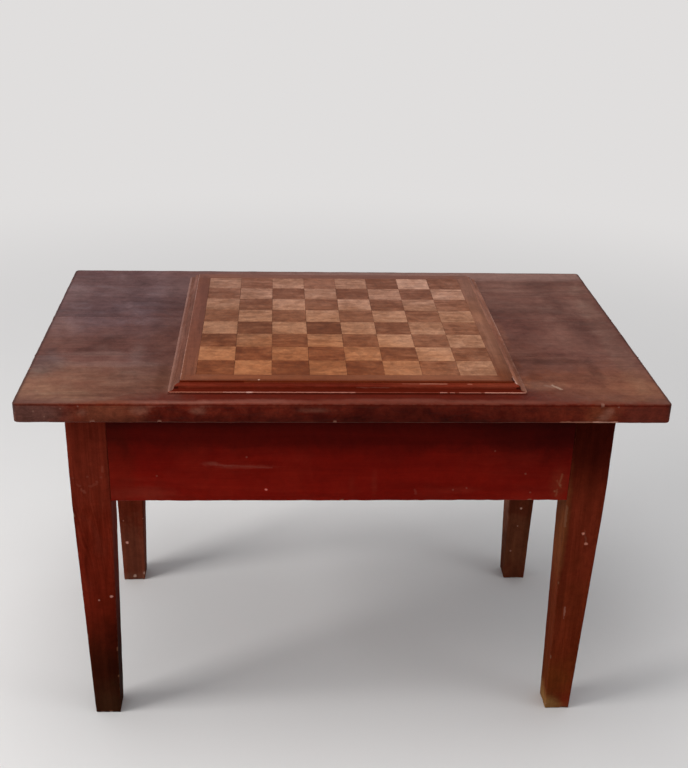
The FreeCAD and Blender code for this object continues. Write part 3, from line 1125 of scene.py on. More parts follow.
TOP_STAIN = Timber(
    name="top_stain",
    dark=(0.1, 0.034, 0.0245),
    middle=(0.136, 0.0485, 0.035),
    light=(0.176, 0.071, 0.052),
    contrast=0.20,
    grain_lines=0.045,
    mottle=0.15,
    pores=0.20,
    haze=(0.2, 0.106, 0.084),
    haze_strength=0.22,
    smear=(11.0, 26.0, 20.0),
    smudges=0.095,
    worn=(0.21, 0.085, 0.055),
    worn_strength=0.35,
    raw=(0.23, 0.095, 0.065),
    side_dark=(0.08, 0.006, 0.0024),
    side_light=(0.128, 0.015, 0.0066),
    side_strength=1.0,
    side_mottle=0.26,
    roughness=0.36,
    specular=0.035,
    patches=(
        # Paler, bluer back left: partly the stain's own fading, partly painted sheen.
        tint((-340, 160, TOP), (160, 150, 9), (0.9, 1.26, 1.7), 0.95, 0.3, 0.6),
        tint((-330, -40, TOP), (160, 130, 9), (0.9, 0.98, 1.08), 0.8, 0.3, 0.6),
        tint((-287, 60, TOP), (40, 110, 9), (0.9, 0.92, 0.96), 0.5, 0.5, 0.7),
        tint((-248, -20, TOP), (24, 250, 9), (0.78, 0.7, 0.66), 0.85, 0.4, 0.6),
        tint((-404, 10, TOP), (26, 240, 9), (1.16, 1.24, 1.22), 0.7, 0.6, 0.7),
        tint((-335, -205, TOP), (112, 60, 9), (1.22, 1.3, 1.1), 0.9),
        tint((-382, -256, TOP), (60, 36, 6), (1.54, 1.9, 1.9), 0.9, 0.4, 0.6),
        tint((385, -235, TOP), (60, 50, 6), (1.22, 1.26, 1.12), 0.85, 0.4, 0.6),
        tint((-404, -138, TOP), (22, 44, 9), (0.72, 1.02, 1.25), 0.7, 0.6, 0.6),
        tint((-352, -64, TOP), (66, 26, 9), (0.84, 0.82, 0.8), 0.5, 0.8),
        Patch((-330, -103, TOP), (62, 8, 9), (0.215, 0.118, 0.098), 0.38, 0.8),
        Patch((-322, -139, TOP), (62, 9, 9), (0.22, 0.118, 0.096), 0.42, 0.8),
        Patch((-283, -98, TOP), (10, 28, 9), (0.215, 0.118, 0.098), 0.35, 0.8),
        tint((-274, -150, TOP), (30, 70, 9), (0.8, 0.82, 0.88), 0.8, 0.6, 0.6),
        # Paler back right: partly the stain's own fading, partly painted sheen.
        tint((330, 165, TOP), (110, 110, 9), (1.22, 1.4, 1.42), 0.8),
        tint((260, 0, TOP), (34, 66, 9), (0.86, 0.82, 0.84), 0.8, 0.5, 0.6),
        tint((262, -120, TOP), (30, 90, 9), (0.86, 0.78, 0.72), 0.8, 0.5, 0.6),
        tint((330, 20, TOP), (12, 110, 9), (1.2, 1.3, 1.32), 0.6, 0.8, 0.6),
        tint((364, 12, TOP), (18, 84, 9), (0.84, 0.86, 0.88), 0.8, 0.6, 0.6),
        tint((398, -20, TOP), (17, 210, 9), (1.16, 1.38, 1.4), 0.75, 0.6),
        tint((340, -200, TOP), (100, 62, 9), (1.2, 1.06, 0.86), 0.85, 0.6),
        tint((296, -128, TOP), (44, 12, 9), (0.64, 0.6, 0.6), 0.8, 0.9),
        Patch((262, -207, TOP), (30, 13, 9), (0.245, 0.105, 0.066), 0.5, 0.9),
        tint((258, -180, TOP), (10, 16, 9), (0.88, 0.78, 0.66), 0.8, 0.7, 0.6),
        tint((300, -186, TOP), (34, 26, 9), (1.18, 1.16, 1.06), 0.8, 0.7, 0.6),
        tint((242, -20, TOP), (7, 60, 9), (1.4, 1.38, 1.2), 0.85, 0.6, 0.6),
        tint((243, -140, TOP), (7, 26, 9), (0.94, 0.78, 0.6), 0.8, 0.6, 0.6),
        tint((243, -197, TOP), (8, 20, 9), (1.34, 1.22, 0.98), 0.8, 0.6, 0.6),
        tint((-240, -190, TOP), (9, 44, 9), (0.7, 0.62, 0.56), 0.85, 0.6, 0.6),
        tint((348, -165, TOP), (8, 44, 9), (0.68, 0.66, 0.66), 0.75, 0.9),
        # Lighter band along the back edge: partly the stain's own tone, partly painted sheen.
        Patch((250, 256, TOP), (380, 26, 9), (0.255, 0.138, 0.113), 0.9, 0.2),
        tint((-380, 262, TOP), (220, 24, 9), (0.95, 0.9, 0.95), 0.6, 0.4),
        # Darker, redder strip in front of the board: partly the stain's own tone, partly painted
        # shade.
        Patch((10, -256, TOP), (258, 40, 5), (0.1, 0.0082, 0.0026), 0.96, 0.2, 0.3),
        # Lighter bands near the front arris: partly worn finish, partly painted highlight.
        Patch((0, -266, TOP), (270, 7, 4), (0.176, 0.035, 0.0185), 0.8, 0.5, 0.6),
        Patch((-120, -262, TOP), (60, 6, 4), (0.215, 0.066, 0.046), 0.6, 0.9, 0.6),
        Patch((60, -258, TOP), (70, 5, 4), (0.19, 0.052, 0.034), 0.55, 0.9, 0.6),
        Patch((-226, -266, TOP), (54, 5, 4), (0.23, 0.09, 0.066), 0.55, 0.9, 0.6),
        Patch((200, -262, TOP), (60, 6, 4), (0.19, 0.056, 0.036), 0.55, 0.9, 0.6),
        Patch((-402, EDGE, 531), (50, 14, 24), (0.126, 0.05, 0.038), 0.9),
        Patch((-312, EDGE, 530), (42, 10, 22), (0.16, 0.041, 0.0195), 0.85, 0.9, 0.7),
        tint((-190, EDGE, 541), (90, 8, 9), (1.12, 1.1, 1.08), 0.9, 0.3, 0.7),
        tint((84, EDGE, 528), (116, 8, 17), (0.66, 0.54, 0.5), 0.9, 0.4, 0.7),
        tint((-40, EDGE, 519), (330, 8, 9), (0.62, 0.52, 0.5), 0.85, 0.4, 0.6),
        Patch((300, EDGE, 532), (60, 10, 18), (0.142, 0.019, 0.0078), 0.7, 0.9, 0.7),
        Patch((334, EDGE, 529), (22, 10, 14), (0.18, 0.046, 0.018), 0.6, 0.9, 0.7),
        Patch((395, EDGE, 532), (40, 10, 20), (0.128, 0.024, 0.014), 0.7, 0.6, 0.7),
        Patch((335, EDGE, 526), (7, 6, 4.5), EDGE_RUB, 0.85, 0.8, 0.9),
        Patch((340, EDGE, 534), (6, 6, 4.5), EDGE_RUB, 0.75, 0.8, 0.9),
        Patch((-335, EDGE, 533), (6, 6, 5), EDGE_RUB, 0.7, 0.8, 0.9),
        Patch((-262, EDGE, 536), (9, 6, 5), EDGE_RUB, 0.65, 0.8, 0.9),
        Patch((-190, EDGE, 535), (8, 6, 4), EDGE_RUB, 0.55, 0.8, 0.9),
        Patch((-38, EDGE, 536), (16, 6, 3), EDGE_RUB, 0.4, 0.9, 0.9),
        tint((0, EDGE, 543.4), (OUTSIDE, 2.2, 1.6), (0.68, 0.3, 0.2), 0.9, 0.1),
        Patch((0, 270, 540), (OUTSIDE, 4, 9), (0.045, 0.018, 0.016), 0.75, 0.2),
        Patch((-422, 0, 540), (4, OUTSIDE, 9), (0.04, 0.018, 0.017), 0.7, 0.2),
        Patch((422, 0, 540), (4, OUTSIDE, 9), (0.045, 0.016, 0.012), 0.7, 0.2),
    ),
    marks=(
        Mark((270, -210, TOP), (276, -213, TOP), 5.0, (0.24, 0.125, 0.09), 0.6, 3.0),
        Mark((278, -208, TOP), (287, -221, TOP), 3.2, PALE_RUB, 0.75, 3.0),
        Mark((278, EDGE, 519.5), (322, EDGE, 519.5), 1.6, (0.34, 0.13, 0.08), 0.7, 1.6),
        Mark((322, EDGE, 519.3), (353, EDGE, 519.3), 2.0, (0.56, 0.28, 0.2), 0.8, 1.2),
        # Painted contact shadow along the foot of the board's front moulding.
        Mark((-228, -239.3, TOP), (238, -239.3, TOP), 2.6, (0.052, 0.0034, 0.0009), 0.85, 0.7),
        *specks([(-340, EDGE, 541), (-396, EDGE, 534), (-383, EDGE, 527), (-362, EDGE, 538),
                 (352, EDGE, 541)], 1.7, (0.24, 0.12, 0.09), 0.55),
    ),
)


@dataclass
class TableTop:
    """Three edge-glued planks with the loose tongues between them."""

    planks: tuple[str, ...] = ("front", "middle", "back")
    arris: float = 2.2 * MM
    corner: float = 6.0 * MM
    joint: float = 0.22 * MM
    unevenness: float = 0.22
    chip_margin: float = 10 * MM
    """How far chips keep from the ends of an arris."""
    upper_chips: ChipSizes = ChipSizes((3 * MM, 7 * MM), (0.3 * MM, 0.9 * MM))
    lower_chips: ChipSizes = ChipSizes((3 * MM, 8 * MM), (0.4 * MM, 1.3 * MM))
    front_chips: tuple[Chip, ...] = (
        Chip((Axis.X, -1, 1), 0.331, 5 * MM, 1.3 * MM),
        Chip((Axis.X, -1, -1), 0.318, 62 * MM, 0.5 * MM),
        Chip((Axis.X, -1, -1), -0.323, 7 * MM, 1.5 * MM),
        Chip((Axis.X, -1, -1), -0.238, 6 * MM, 1.4 * MM),
        Chip((Axis.X, -1, -1), -0.014, 5 * MM, 1.1 * MM),
    )
    """The chips of the front edge. The others are drawn at random."""

    def build(self) -> None:
        """Builds and dresses the planks and tongues."""
        for number, name in enumerate(self.planks):
            node = f"top_plank_{name}"
            low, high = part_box(node)
            free = [side for side, end in ((-1, "front"), (1, "back")) if name == end]
            chips = self._chips(np.random.default_rng(Seed.PLANK_CHIPS + number), low, high)
            if name == "front":
                chips += self.front_chips
            corners = {(end, side): self.corner for end in (-1, 1) for side in free}
            board = WornBoard(low, high, self.joint, self._radii(free), chips,
                              seed=Seed.PLANKS + number, unevenness=self.unevenness,
                              plan_corners=corners)
            finish = self._finish(name, number)
            board.surface().piece(f"{node}_worn", node, "table_top", finish.material())
        raw = RAW_WOOD.material()
        for name in ("top_tongue_front", "top_tongue_back"):
            dress(name, raw)

    def _radii(self, free: Sequence[int]) -> dict[Arris, float]:
        """Gives the arris radii of a plank.

        Args:
            free: Which of its long edges, -1 at the front and 1 at the back, is in no joint.

        Returns:
            The radius of each arris that isn't a joint's.
        """
        radii: dict[Arris, float] = {}
        for end in (-1, 1):
            for level in (-1, 1):
                radii[(Axis.Y, end, level)] = self.arris
            for side in free:
                radii[(Axis.Z, end, side)] = self.arris
                radii[(Axis.X, side, end)] = self.arris
        return radii

    def _chips(self, rng: np.random.Generator, low: Vector, high: Vector) -> list[Chip]:
        """Draws the chips of a plank's two ends.

        Args:
            rng: Seeded source of the draws.
            low: Lowest corner of the plank.
            high: Highest corner of the plank.

        Returns:
            The chips.
        """
        chips: list[Chip] = []
        span = (low.y + self.chip_margin, high.y - self.chip_margin)
        for end in (-1, 1):
            chips += scattered_chips(rng, (Axis.Y, end, 1), span, 1, self.upper_chips)
            chips += scattered_chips(rng, (Axis.Y, end, -1), span, 2, self.lower_chips)
        return chips

    def _finish(self, name: str, number: int) -> Timber:
        """Gives the stain of one plank.

        Args:
            name: The plank's name.
            number: Its number from the front.

        Returns:
            The plank's finish.
        """
        return replace(TOP_STAIN, name=f"top_stain_{name}", seed=3.1 * number + 1.0,
                       heart=(-190.0 + 160.0 * number, 430.0))


# ---- frame under the top -----------------------------------------------------------------------

FACE = -218
"""Where the front faces of the frame are, in millimetres."""
SPECK = (0.56, 0.26, 0.20)
LEG_SCUFF = (0.23, 0.058, 0.036)
RED_SCUFF = (0.24, 0.050, 0.036)
LEG_PAINT = Timber(
    name="leg_paint",
    dark=(0.1, 0.009, 0.0038),
    middle=(0.13, 0.0125, 0.0052),
    light=(0.162, 0.02, 0.0088),
    grain=Axis.Z,
    contrast=0.55,
    grain_lines=0.20,
    mottle=0.13,
    pores=0.15,
    haze=(0.17, 0.036, 0.02),
    haze_strength=0.2,
    worn=(0.2, 0.052, 0.028),
    worn_strength=0.4,
    raw=(0.155, 0.062, 0.036),
    roughness=0.62,
    specular=0.004,
)

LEG_PATCHES = {
    "front_left": (
        Patch((-341, FACE, 450), (60, 60, 70), (0.17, 0.0225, 0.011), 0.6, 0.3),
        Patch((-338, -206, 160), (80, 80, 80), (0.118, 0.0105, 0.0042), 0.8, 0.3, 0.6),
        Patch((-338, -206, 40), (90, 90, 112), (0.03, 0.0058, 0.0022), 0.95, 0.2, 0.55),
        tint((-312, -206, 122), (23, 80, 116), (0.5, 0.45, 0.36), 0.92, 0.4, 0.7),
        Patch((-346, -204, 8), (24, 60, 48), (0.04, 0.015, 0.0066), 0.75, 0.8, 0.7),
    ),
    "front_right": (
        Patch((338, -204, 320), (70, 70, 110), (0.136, 0.019, 0.0074), 0.8, 0.3, 0.6),
        # Painted shade below the top, on the leg's upper part.
        Patch((345, FACE, 500), (60, 60, 95), (0.03, 0.003, 0.0012), 0.88, 0.2),
        Patch((314, -190, 310), (8, 60, 110), (0.19, 0.058, 0.019), 0.75, 0.4),
        Patch((316, -190, 110), (7, 60, 110), (0.112, 0.027, 0.0075), 0.7, 0.4),
        Patch((338, -204, 140), (70, 70, 110), (0.122, 0.02, 0.0056), 0.6, 0.4),
        Patch((325, -204, 50), (34, 60, 46), (0.126, 0.027, 0.0056), 0.75, 0.6, 0.7),
        Patch((318, -200, 3), (24, 60, 24), (0.3, 0.15, 0.05), 0.85, 0.8, 0.8),
    ),
    "back_left": (
        Patch((-341, 190, 200), (70, 70, 260), (0.099, 0.016, 0.007), 0.8, 0.3),
        Patch((-345, 166, 45), (44, 60, 62), (0.15, 0.04, 0.021), 0.8, 0.9, 0.7),
        Patch((-341, 190, 0), (60, 60, 15), (0.16, 0.06, 0.036), 0.55, 0.6),
    ),
    "back_right": (
        Patch((341, 190, 200), (70, 70, 260), (0.082, 0.018, 0.008), 0.85, 0.3),
        Patch((341, 166, 60), (70, 60, 66), (0.142, 0.044, 0.02), 0.8, 0.9, 0.7),
        Patch((315, 190, 200), (7, 60, 260), (0.42, 0.165, 0.1), 0.9, 0.3),
    ),
}
# Where each leg has darkened or worn, with painted shade below the top on the front right leg.
"""Where each leg has darkened or worn."""

LEG_MARKS = {
    "front_left": (
        specks([(-325, -212, 216)], 3.0, SPECK)
        + specks([(-343, -212, 209)], 1.9, SPECK, 0.6)
        + specks([(-332, FACE, 405), (-344, FACE, 413), (-364, FACE, 411), (-326, FACE, 412)], 2.6,
                 (0.2, 0.054, 0.038), 0.35)
        + (Mark((-323, FACE, 428), (-324, FACE, 422), 2.6, LEG_SCUFF, 0.4, 3.0),
           Mark((-353, FACE, 393), (-349, FACE, 389), 2.8, LEG_SCUFF, 0.45, 3.0),
           Mark((-358, FACE, 401), (-355, FACE, 398), 2.4, LEG_SCUFF, 0.3, 3.0),
           Mark((-342, FACE, 399), (-334, FACE, 402), 2.6, LEG_SCUFF, 0.25, 3.5))
    ),
    "front_right": (
        specks([(345, -216, 320), (351, -215, 303)], 3.4, (0.66, 0.27, 0.185))
        + specks([(326, -204, 10)], 1.9, SPECK, 0.35)
        + (Mark((316, -217, 366), (317, -217, 332), 2.6, (0.21, 0.09, 0.05), 0.5, 3.0),
           Mark((347, -216, 325), (351, -215, 303), 1.6, (0.22, 0.08, 0.05), 0.3, 2.4),
           Mark((334, -211, 192), (335, -211, 172), 1.8, (0.3, 0.13, 0.09), 0.6, 1.8))
    ),
    "back_left": (
        specks([(-353, 166, 78)], 3.4, (0.68, 0.32, 0.245))
        + specks([(-357, 166, 123), (-322, 165, 127)], 1.9, SPECK, 0.6)
        + specks([(-343, 166, 8), (-325, 166, 14)], 4.2, (0.52, 0.34, 0.26), 0.8)
    ),
    "back_right": (
        specks([(344, 165, 146)], 3.0, (0.66, 0.39, 0.3))
        + specks([(341, 165, 110), (333, 166, 58)], 2.2, SPECK, 0.6)
        + specks([(320, 166, 20)], 5.0, (0.5, 0.33, 0.27), 0.8)
    ),
}
"""Specks and scuffs on each leg."""

APRON_PAINT = Timber(
    name="apron_paint",
    dark=(0.155, 0.0042, 0.0016),
    middle=(0.178, 0.0054, 0.0021),
    light=(0.2, 0.0082, 0.0034),
    contrast=0.35,
    grain_lines=0.08,
    mottle=0.09,
    pores=0.08,
    haze=(0.205, 0.018, 0.0098),
    haze_strength=0.22,
    worn=(0.2, 0.03, 0.02),
    worn_strength=0.3,
    raw=(0.28, 0.11, 0.07),
    roughness=0.40,
    specular=0.02,
    relief=0.04,
    patches=(
        # The first two patches are painted shade below the top's overhang.
        Patch((0, 0, 532), (OUTSIDE, OUTSIDE, 80), (0.066, 0.0024, 0.0009), 0.75, 0.16, 0.18),
        Patch((0, 0, 524), (OUTSIDE, OUTSIDE, 30), (0.011, 0.0005, 0.0003), 0.86, 0.1, 0.6),
        tint((290, 0, 520), (130, OUTSIDE, 100), (0.6, 0.6, 0.6), 0.85, 0.2),
        tint((296, 0, 468), (34, OUTSIDE, 36), (0.68, 0.56, 0.5), 0.8),
        tint((-304, 0, 425), (24, OUTSIDE, 80), (0.8, 1.25, 1.2), 0.8, 0.5, 0.4),
        Patch((-266, 0, 386), (42, OUTSIDE, 9), (0.21, 0.028, 0.015), 0.45, 0.9, 0.7),
        Patch((-176, 0, 433), (11, OUTSIDE, 4), (0.245, 0.048, 0.032), 0.65, 0.9),
        Patch((-132, 0, 428), (40, OUTSIDE, 3), (0.225, 0.036, 0.022), 0.45, 0.9),
        Patch((160, 0, 392), (26, OUTSIDE, 5), (0.215, 0.026, 0.014), 0.25, 0.9, 0.8),
        Patch((45, 0, 401), (4, OUTSIDE, 16), (0.215, 0.024, 0.013), 0.3, 0.9, 0.8),
        Patch((14, 0, 401), (4, OUTSIDE, 12), (0.215, 0.024, 0.013), 0.2, 0.9, 0.8),
        Patch((302, 0, 400), (10, OUTSIDE, 22), (0.205, 0.036, 0.014), 0.35, 0.9, 0.8),
    ),
)
SHADED_BY_TOP = 2
"""How many of these patches, from the first, are the shade below the top. All aprons have them."""
APRON_MARKS = (
    Mark((-172, FACE, 431), (-150, FACE, 429), 1.5, RED_SCUFF, 0.4, 2.4),
    Mark((-165, FACE, 431), (-95, FACE, 426), 1.1, RED_SCUFF, 0.35, 1.2),
    Mark((102, FACE, 393), (104, FACE, 386), 2.6, RED_SCUFF, 0.3, 3.0),
    *specks([(-103, FACE, 393)], 2.4, (0.76, 0.2, 0.16), 0.9),
    *specks([(-129, FACE, 443), (-251, FACE, 414), (253, FACE, 417), (154, FACE, 392),
             (173, FACE, 395), (208, FACE, 452), (262, FACE, 388)], 2.0, (0.24, 0.07, 0.05), 0.6),
    Mark((304, FACE, 415), (302, FACE, 402), 2.4, (0.26, 0.085, 0.04), 0.45, 2.6),
    Mark((297, FACE, 407), (304, FACE, 396), 1.8, (0.24, 0.07, 0.034), 0.35, 3.0),
    Mark((300, FACE, 392), (298, FACE, 382), 2.2, (0.26, 0.082, 0.04), 0.4, 3.0),
    *specks([(303, FACE, 399), (296, FACE, 390)], 2.6, (0.28, 0.095, 0.048), 0.55),
)
"""Rubs and specks on the front apron."""

RAW_WOOD = Timber(
    name="raw_softwood",
    dark=(0.27, 0.155, 0.075),
    middle=(0.4, 0.25, 0.135),
    light=(0.5, 0.34, 0.2),
    contrast=0.8,
    pores=0.15,
    roughness=0.7,
    relief=0.12,
)


@dataclass
class UnderFrame:
    """Four tapered legs, four aprons, corner blocks and cleats."""

    corners: tuple[str, ...] = ("front_left", "front_right", "back_left", "back_right")
    leg_arris: float = 1.8 * MM
    foot_arris: float = 2.0 * MM
    apron_arris: float = 2.0 * MM
    apron_joint: float = 0.35 * MM
    """Radius of the aprons' arrises that meet the top and the legs."""
    hidden_arris: float = 0.3 * MM
    """Radius at the legs' tops and on the tenons."""
    foot_section: dict[str, float] = field(default_factory=lambda: {
        "end_outer": 6.0 * MM, "end_inner": 11.0 * MM,
        "side_outer": 14.0 * MM, "side_inner": 2.0 * MM,
    })
    """How far each face of a leg has moved in by the time it meets the floor."""
    tenon_inset: float = 6.5 * MM
    tenon_rise: float = 14 * MM
    tenon_drop: float = 22 * MM
    """How far a tenon keeps from its apron's faces, lower edge and upper edge."""
    chip_margin: float = 10 * MM
    foot_margin: float = 6 * MM
    """How far chips keep from the ends of an arris."""
    chips_each: int = 2
    leg_chips: ChipSizes = ChipSizes((4 * MM, 10 * MM), (0.2 * MM, 0.7 * MM))
    foot_chips: ChipSizes = ChipSizes((5 * MM, 12 * MM), (0.8 * MM, 2.4 * MM))
    apron_chips: ChipSizes = ChipSizes((4 * MM, 9 * MM), (0.2 * MM, 0.7 * MM))

    def build(self) -> None:
        """Builds and dresses the whole frame."""
        for number, corner in enumerate(self.corners):
            self._leg(number, corner)
        for number, side in enumerate(Side):
            self._apron(number, side)
        raw = RAW_WOOD.material()
        for corner in self.corners:
            dress(f"corner_block_{corner}", raw)
        for side in Side:
            dress(f"top_cleat_{side.label}", raw)

    def _leg(self, number: int, corner: str) -> None:
        """Builds one leg.

        Args:
            number: The leg's number.
            corner: Where it stands.
        """
        node = f"leg_{corner}"
        low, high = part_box(node)
        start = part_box("apron_front")[0].z
        outer = (1 if corner.endswith("right") else -1, 1 if corner.startswith("back") else -1)
        radii: dict[Arris, float] = {}
        for end in (-1, 1):
            for axis in (Axis.X, Axis.Y):
                radii[(axis, end, -1)] = self.foot_arris
                radii[(axis, end, 1)] = self.hidden_arris
        rng = np.random.default_rng(Seed.LEG_CHIPS + number)
        chips: list[Chip] = []
        span = (self.chip_margin, start - self.chip_margin)
        for ends in ((-1, -1), (-1, 1), (1, -1), (1, 1)):
            chips += scattered_chips(rng, (Axis.Z, *ends), span, self.chips_each, self.leg_chips)
        for end in (-1, 1):
            for axis in (Axis.X, Axis.Y):
                span = (low[axis.value] + self.foot_margin, high[axis.value] - self.foot_margin)
                chips += scattered_chips(rng, (axis, end, -1), span, self.chips_each,
                                         self.foot_chips)
        board = WornBoard(low, high, self.leg_arris, radii, chips, seed=Seed.LEGS + number,
                          spacing=6 * MM, dips=0.3 * MM)
        surface = board.surface()
        surface.points = self._tapered(surface.points, low, high, start, outer)
        surface.piece(f"{node}_worn", node, "legs", self._leg_finish(corner, number).material())

    def _tapered(self, points: np.ndarray, low: Vector, high: Vector, start: float,
                 outer: tuple[int, int]) -> np.ndarray:
        """Narrows a leg towards the floor.

        Args:
            points: Points of the straight leg.
            low: Lowest corner of the leg.
            high: Highest corner of the leg.
            start: Height at which the taper begins.
            outer: Which way is outwards on X and Y.

        Returns:
            The moved points.
        """
        share = np.clip(1 - points[:, 2] / start, 0, 1)
        moved = points.copy()
        for axis, face in enumerate(("end", "side")):
            inset = {outer[axis]: self.foot_section[f"{face}_outer"],
                     -outer[axis]: self.foot_section[f"{face}_inner"]}
            near = low[axis] + inset[-1] * share
            far = high[axis] - inset[1] * share
            across = (points[:, axis] - low[axis]) / (high[axis] - low[axis])
            moved[:, axis] = near + across * (far - near)
        return moved

    def _leg_finish(self, corner: str, number: int) -> Timber:
        """Gives the paint of one leg.

        Args:
            corner: Where the leg stands.
            number: The leg's number.

        Returns:
            The leg's finish.
        """
        low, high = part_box(f"leg_{corner}")
        middle = tuple(1000 * c for c in (low + high) / 2)
        return replace(LEG_PAINT, name=f"leg_paint_{corner}", seed=2.3 * number + 0.4,
                       heart=(middle[1] + 60.0, middle[0] - 45.0),
                       patches=LEG_PATCHES[corner], marks=LEG_MARKS[corner])

    def _apron(self, number: int, side: Side) -> None:
        """Builds one apron with its tenons.

        Args:
            number: The apron's number.
            side: The side of the table that it is on.
        """
        node = f"apron_{side.label}"
        axis = side.runs
        low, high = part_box(node)
        leg_low, leg_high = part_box("leg_front_right")
        shoulder = leg_low.x if axis is Axis.X else -leg_high.y
        body_low, body_high = low.copy(), high.copy()
        body_low[axis.value], body_high[axis.value] = -shoulder, shoulder
        rng = np.random.default_rng(Seed.APRON_CHIPS + number)
        span = (-shoulder + self.chip_margin, shoulder - self.chip_margin)
        radii: dict[Arris, float] = {}
        chips: list[Chip] = []
        for end in (-1, 1):
            radii[(axis, end, -1)] = self.apron_arris
            chips += scattered_chips(rng, (axis, end, -1), span, self.chips_each, self.apron_chips)
        board = WornBoard(body_low, body_high, self.apron_joint, radii, chips,
                          seed=Seed.APRONS + number, dips=0.2 * MM)
        surface = board.surface()
        across = Axis.Y if axis is Axis.X else Axis.X
        for end in (-1, 1):
            tenon_low, tenon_high = low.copy(), high.copy()
            tenon_low[across.value] += self.tenon_inset
            tenon_high[across.value] -= self.tenon_inset
            tenon_low.z += self.tenon_rise
            tenon_high.z -= self.tenon_drop
            if end < 0:
                tenon_high[axis.value] = -shoulder + MM
            else:
                tenon_low[axis.value] = shoulder - MM
            tenon = WornBoard(tenon_low, tenon_high, self.hidden_arris, spacing=15 * MM, dips=0.0,
                              seed=Seed.TENONS)
            surface = surface.joined(tenon.surface())
        paint = replace(APRON_PAINT, name=f"apron_paint_{side.label}", seed=1.9 * number + 0.2,
                        grain=axis, heart=(-400.0, 380.0))
        if side is Side.FRONT:
            paint = replace(paint, marks=APRON_MARKS)
        else:
            paint = replace(paint, patches=APRON_PAINT.patches[:SHADED_BY_TOP])
        surface.piece(f"{node}_worn", node, "aprons", paint.material())


# ---- chessboard --------------------------------------------------------------------------------

BOARD = 556
"""Level of the board's flat surface, in millimetres."""
BOARD_PATCHES = (
    # Paler, bluer back of the board: partly faded, partly painted sheen.
    tint((5, 190, BOARD), (330, 120, 40), (1.18, 1.34, 1.68), 0.9, 0.2, 0.6),
    tint((-80, -190, BOARD), (190, 110, 40), (1.08, 0.9, 0.72), 0.9, 0.25, 0.6),
    # Paler, bluer right side: partly faded, partly painted sheen.
    tint((160, -60, BOARD), (110, 230, 40), (1.16, 1.24, 1.34), 0.8, 0.3, 0.6),
    tint((-190, 40, BOARD), (90, 220, 40), (0.88, 0.9, 0.94), 0.7, 0.3, 0.6),
    tint((-60, -150, BOARD), (200, 100, 40), (1.03, 0.98, 0.88), 0.9, 0.4, 0.4),
)
# Where the board has faded, warmed or darkened; the paler, bluer back and right are partly painted
# sheen.
"""Where the board has faded, warmed or darkened."""

LIGHT_SQUARES = Inlay(
    name="light_squares",
    dark=(0.245, 0.098, 0.048),
    middle=(0.325, 0.14, 0.073),
    light=(0.41, 0.19, 0.104),
    spread=0.12,
    patches=BOARD_PATCHES,
    seed=1.0,
)
DARK_SQUARES = Inlay(
    name="dark_squares",
    dark=(0.14, 0.042, 0.018),
    middle=(0.188, 0.063, 0.029),
    light=(0.25, 0.094, 0.047),
    spread=0.13,
    patches=BOARD_PATCHES,
    seed=5.0,
)

